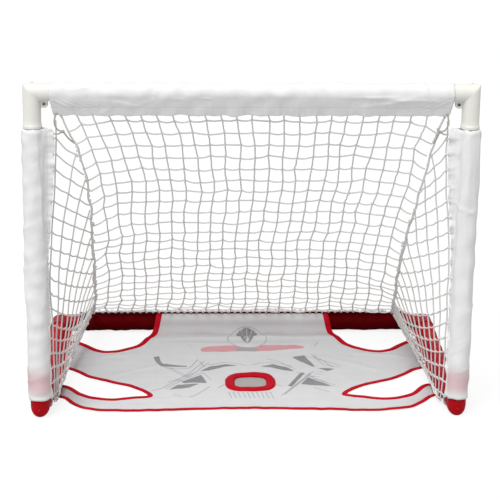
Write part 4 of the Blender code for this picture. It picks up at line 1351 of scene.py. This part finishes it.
def target_sheet():
    """The cloth: square cells kept where their middle is inside the outline and outside the centre hole,
    with the edge points moved onto the outline."""
    front, notch, corner = target_outline()
    right = np.concatenate((front, notch, corner))
    outline = np.concatenate((right, mirrored(right)))
    hole = centre_loop(0.066, 0.060)
    cell = sizes().target_cell
    x = np.arange(-0.5448, 0.5449, cell)
    y = np.arange(0.0216, LIP_END + cell, cell)
    flat = np.stack(np.meshgrid(x, y), -1)
    quads = grid_quads(len(y), len(x))
    points = flat.reshape(-1, 2)
    middles = points[quads].mean(1)
    keep = to_outline(middles, outline)[2] & ~to_outline(middles, hole)[2]
    quads = quads[keep]
    used, counts = np.unique(quads, return_counts=True)
    edge = used[counts < 4]
    on_outline, far, _ = to_outline(points[edge], outline)
    on_hole, near, _ = to_outline(points[edge], hole)
    points[edge] = np.where((far < near)[:, None], on_outline, on_hole)
    renumber = np.zeros(len(points), int)
    renumber[used] = np.arange(len(used))
    points, quads = points[used], renumber[quads]
    place = sheet_place(points[:, 0], points[:, 1])
    dark, fine, band = figure_print(points[:, 0], points[:, 1])
    across, along = np.abs(points[:, 0]), points[:, 1]
    # Painted shade: folded is a mask of shade bands at the folds before and up the lip, and on the side
    # wings.
    folded = (0.80 * np.exp(-(((along - 0.612) / 0.018) ** 2))
              + 0.65 * np.exp(-(((along - 0.665) / 0.028) ** 2))
              + 0.35 * np.exp(-(((along - 0.545) / 0.022) ** 2)) * (1 - smooth(0.15, 0.30, across))
              + 0.75 * smooth(0.440, 0.545, across))
    thing = piece("target_cloth", (place, quads, points), printed_cloth(), "target",
                  ["target_panel", "target_top_band"], closed=False,
                  values={"ink": dark, "pencil": fine, "bar": band, "folded": folded}, weld=1e-7)
    thickened(thing, CLOTH_THICKNESS)


def pocket_sheet():
    """The plain cloth sewn behind the centre hole, lying flat under the target."""
    half_x, half_y = 0.076, 0.069
    x, y = np.meshgrid(np.linspace(-half_x, half_x, 45), np.linspace(-half_y, half_y, 41))
    rng = np.random.default_rng(107)
    height = 0.0010 + 0.00025 * (1 + np.clip(ripple(x, y, 0.05, rng), -1, 1))
    points = np.stack((HOLE_X + x, FRONT_Y + HOLE_Y + y, height), -1)
    finish = cloth("plain_pocket_cloth", colours().pocket, 0.7, 0.1)
    thing = piece("target_pocket_cloth", grid(points, np.stack((x, y), -1)), finish, "target",
                  closed=False, values={"stitch": np.zeros(x.size)})
    thickened(thing, 0.0005)


def tape_run(line, loop=False, low=-0.0035, high=None, half=0.0019):
    """Binding folded over the cloth's edge: a flat oval, low inside the edge and high outside it, carried
    along the edge line. It follows the cloth's folds."""
    high = sizes().tape + low if high is None else high
    ahead = np.roll(line, -1, 0) - np.roll(line, 1, 0)
    if not loop:
        ahead[0], ahead[-1] = line[1] - line[0], line[-1] - line[-2]
    outward = unit(np.stack((ahead[:, 1], -ahead[:, 0]), -1))
    section = np.array([(0, 0), (0.12, 0.75), (0.35, 1), (0.65, 1), (0.9, 0.8), (1, 0.25), (1, -0.25),
                        (0.9, -0.8), (0.65, -1), (0.35, -1), (0.12, -0.75), (0, 0)])
    across = low + (high - low) * section[:, 0]
    flat = line[:, None] + across[None, :, None] * outward[:, None]
    base = sheet_place(line[:, 0], line[:, 1])
    there = sheet_place(flat[..., 0], flat[..., 1])
    there[..., 2] = 0.6 * there[..., 2] + 0.4 * base[:, None, 2]
    slope = sheet_place(line[:, 0], line[:, 1] + 0.002) - sheet_place(line[:, 0], line[:, 1] - 0.002)
    upright = unit(np.stack((0 * slope[:, 1], -slope[:, 2], slope[:, 1]), -1))
    points = there + (half * section[:, 1])[None, :, None] * upright[:, None]
    points[..., 2] = np.maximum(points[..., 2], 0.0004)
    distance = np.concatenate(([0], np.cumsum(np.linalg.norm(np.diff(line, axis=0), axis=1))))
    uv = np.stack(np.broadcast_arrays(distance[:, None], across - low), -1)
    if loop:
        return grid(points, uv, loop_rows=True)
    ends = np.broadcast_to(points[[0, -1]].mean(1)[:, None], (2, *points.shape[1:]))
    points = np.concatenate((ends[:1], points, ends[1:]))
    uv = np.concatenate((uv[:1], uv, uv[-1:]))
    return grid(points, uv)


class GOAL_OT_target(Operator):
    """Builds the printed target cloth."""

    bl_idname = "goal.target"
    bl_label = "Target cloth"

    def execute(self, context):
        target_sheet()
        pocket_sheet()
        return {"FINISHED"}


class GOAL_OT_binding(Operator):
    """Builds the red tapes that bind the target's edges and its centre hole."""

    bl_idname = "goal.binding"
    bl_label = "Target bindings"

    def execute(self, context):
        finish = tape_finish()
        front, notch, corner = target_outline()
        runs = {
            "target_front_binding": np.concatenate((mirrored(front)[:-1], front)),
            "target_right_notch_binding": notch, "target_left_notch_binding": mirrored(notch),
            "target_right_corner_binding": corner, "target_left_corner_binding": mirrored(corner),
        }
        extra = {"target_right_notch_binding": 0.0015, "target_left_notch_binding": 0.0015,
                 "target_right_corner_binding": 0.0040, "target_left_corner_binding": 0.0040}
        for node, line in runs.items():
            count = int(np.linalg.norm(np.diff(line, axis=0), axis=1).sum() / 0.004)
            tape = tape_run(spaced(line, count), high=sizes().tape - 0.0035 + extra.get(node, 0.0))
            piece(f"{node}_tape", tape, finish, "target", [node])
        loop = centre_loop(0.066, 0.060)[::-1]
        piece("target_centre_binding_tape", tape_run(loop, True, -0.009, 0.019, 0.0058), finish, "target",
              ["target_centre_binding"])
        return {"FINISHED"}


# ---------------------------------------------------------------------------------------------
# Stage


def area_light(name, place, aim, size, power):
    data = bpy.data.lights.new(name, "AREA")
    data.shape = "RECTANGLE"
    data.size, data.size_y = size
    data.energy = power
    light = bpy.data.objects.new(name, data)
    bpy.context.scene.collection.objects.link(light)
    light.location = place
    light.rotation_euler = (Vector(aim) - Vector(place)).to_track_quat("-Z", "Y").to_euler()


def make_camera():
    """The camera stands 4 m before the mouth, a little left, and looks down 15 degrees."""
    data = bpy.data.cameras.new("camera")
    data.sensor_width = 36.0
    data.lens = 110.6
    data.shift_x, data.shift_y = 0.0112, -0.14
    camera = bpy.data.objects.new("camera", data)
    bpy.context.scene.collection.objects.link(camera)
    pitch, yaw, roll = np.radians((15.44, 1.90, 0.54))
    forward = Vector((np.sin(yaw) * np.cos(pitch), np.cos(yaw) * np.cos(pitch), -np.sin(pitch)))
    right = forward.cross(Vector((0, 0, 1))).normalized()
    up = right.cross(forward)
    right_rolled = right * np.cos(roll) + up * np.sin(roll)
    up_rolled = up * np.cos(roll) - right * np.sin(roll)
    turn = Matrix((right_rolled, up_rolled, -forward)).transposed().to_4x4()
    camera.matrix_world = Matrix.Translation((-0.152, FRONT_Y - 3.995, 1.788)) @ turn
    bpy.context.scene.camera = camera


def floor_finish():
    """A white studio floor that glows, so shadows on it stay faint. Only what the camera sees of it is
    white; the light it throws back up is that of a mid grey floor."""
    made, tree, shader = new_material("studio_floor", 0.7, Specular_IOR_Level=0.0, Emission_Strength=1.0)
    place = add(tree, "ShaderNodeTexCoord").outputs["Object"]
    value = colours().floor
    seen = add(tree, "ShaderNodeLightPath").outputs["Is Camera Ray"]
    pale = shaded(tree, rgba(value), rgba([0.985 * c for c in value]), noise(tree, place, 1.5), 0.5)
    tree.links.new(mixed(tree, seen, rgba((0.5, 0.5, 0.5)), pale), shader.inputs["Base Color"])
    glow = mixed(tree, seen, rgba((0, 0, 0)), rgba((0.82, 0.82, 0.82)))
    tree.links.new(glow, shader.inputs["Emission Color"])
    return made


def studio_world():
    """An even sky, white where the camera sees it and two thirds as bright as a light."""
    world = bpy.data.worlds.new("studio")
    world.use_nodes = True
    tree = world.node_tree
    background = tree.nodes["Background"]
    background.inputs["Color"].default_value = (1.0, 1.0, 1.0, 1.0)
    seen = add(tree, "ShaderNodeLightPath").outputs["Is Camera Ray"]
    tree.links.new(maths(tree, "MULTIPLY_ADD", seen, 0.36, 0.64), background.inputs["Strength"])
    return world


class GOAL_OT_stage(Operator):
    """Builds the floor, the lights, the sky and the camera."""

    bl_idname = "goal.stage"
    bl_label = "Stage"

    def execute(self, context):
        scene = context.scene
        x = np.linspace(-9, 9, 13)
        y = np.linspace(-8, 14, 13)
        points = np.stack(np.meshgrid(x, y), -1)
        points = np.concatenate((points, np.zeros((*points.shape[:2], 1))), -1)
        vertices, quads, _ = grid(points, points[..., :2])
        data = bpy.data.meshes.new("floor")
        data.from_pydata(vertices.tolist(), [], quads.tolist())
        data.materials.append(floor_finish())
        floor = bpy.data.objects.new("floor", data)
        scene.collection.objects.link(floor)
        scene.world = studio_world()
        scene.view_settings.view_transform = "Standard"
        sun = bpy.data.lights.new("key", "SUN")
        sun.energy = 1.95
        sun.angle = np.radians(35)
        key = bpy.data.objects.new("key", sun)
        scene.collection.objects.link(key)
        key.location = (-1.2, -2.4, 4.5)
        key.rotation_euler = (-Vector((-0.30, -0.50, 1.0))).to_track_quat("-Z", "Y").to_euler()
        area_light("front", (-1.6, -3.8, 2.2), (0, 0, 0.4), (1.6, 1.6), 12.0)
        make_camera()
        return {"FINISHED"}


class GOAL_PT_sidebar(Panel):
    """Lists the goal's pieces and their settings."""

    bl_label = "Ball hockey goal"
    bl_idname = "GOAL_PT_sidebar"
    bl_space_type = "VIEW_3D"
    bl_region_type = "UI"
    bl_category = "Goal"

    def draw(self, context):
        for step in STEPS:
            self.layout.operator(step.bl_idname)
        for group in (context.scene.goal_sizes, context.scene.goal_colours):
            for key in group.bl_rna.properties.keys():
                if key not in ("rna_type", "name"):
                    self.layout.prop(group, key)


STEPS = (GOAL_OT_stage, GOAL_OT_fittings, GOAL_OT_tubes, GOAL_OT_clips, GOAL_OT_sleeves, GOAL_OT_netting,
         GOAL_OT_cords, GOAL_OT_target, GOAL_OT_binding)
CLASSES = (GoalSizes, GoalColours, *STEPS, GOAL_PT_sidebar)


def register():
    for made in CLASSES:
        bpy.utils.register_class(made)
    bpy.types.Scene.goal_sizes = PointerProperty(type=GoalSizes)
    bpy.types.Scene.goal_colours = PointerProperty(type=GoalColours)


def unregister():
    del bpy.types.Scene.goal_colours
    del bpy.types.Scene.goal_sizes
    for made in reversed(CLASSES):
        bpy.utils.unregister_class(made)


def main():
    register()
    bpy.ops.goal.stage()
    bpy.ops.goal.fittings()
    bpy.ops.goal.tubes()
    bpy.ops.goal.clips()
    bpy.ops.goal.sleeves()
    bpy.ops.goal.netting()
    bpy.ops.goal.cords()
    bpy.ops.goal.target()
    bpy.ops.goal.binding()


if __name__ == "__main__":
    main()
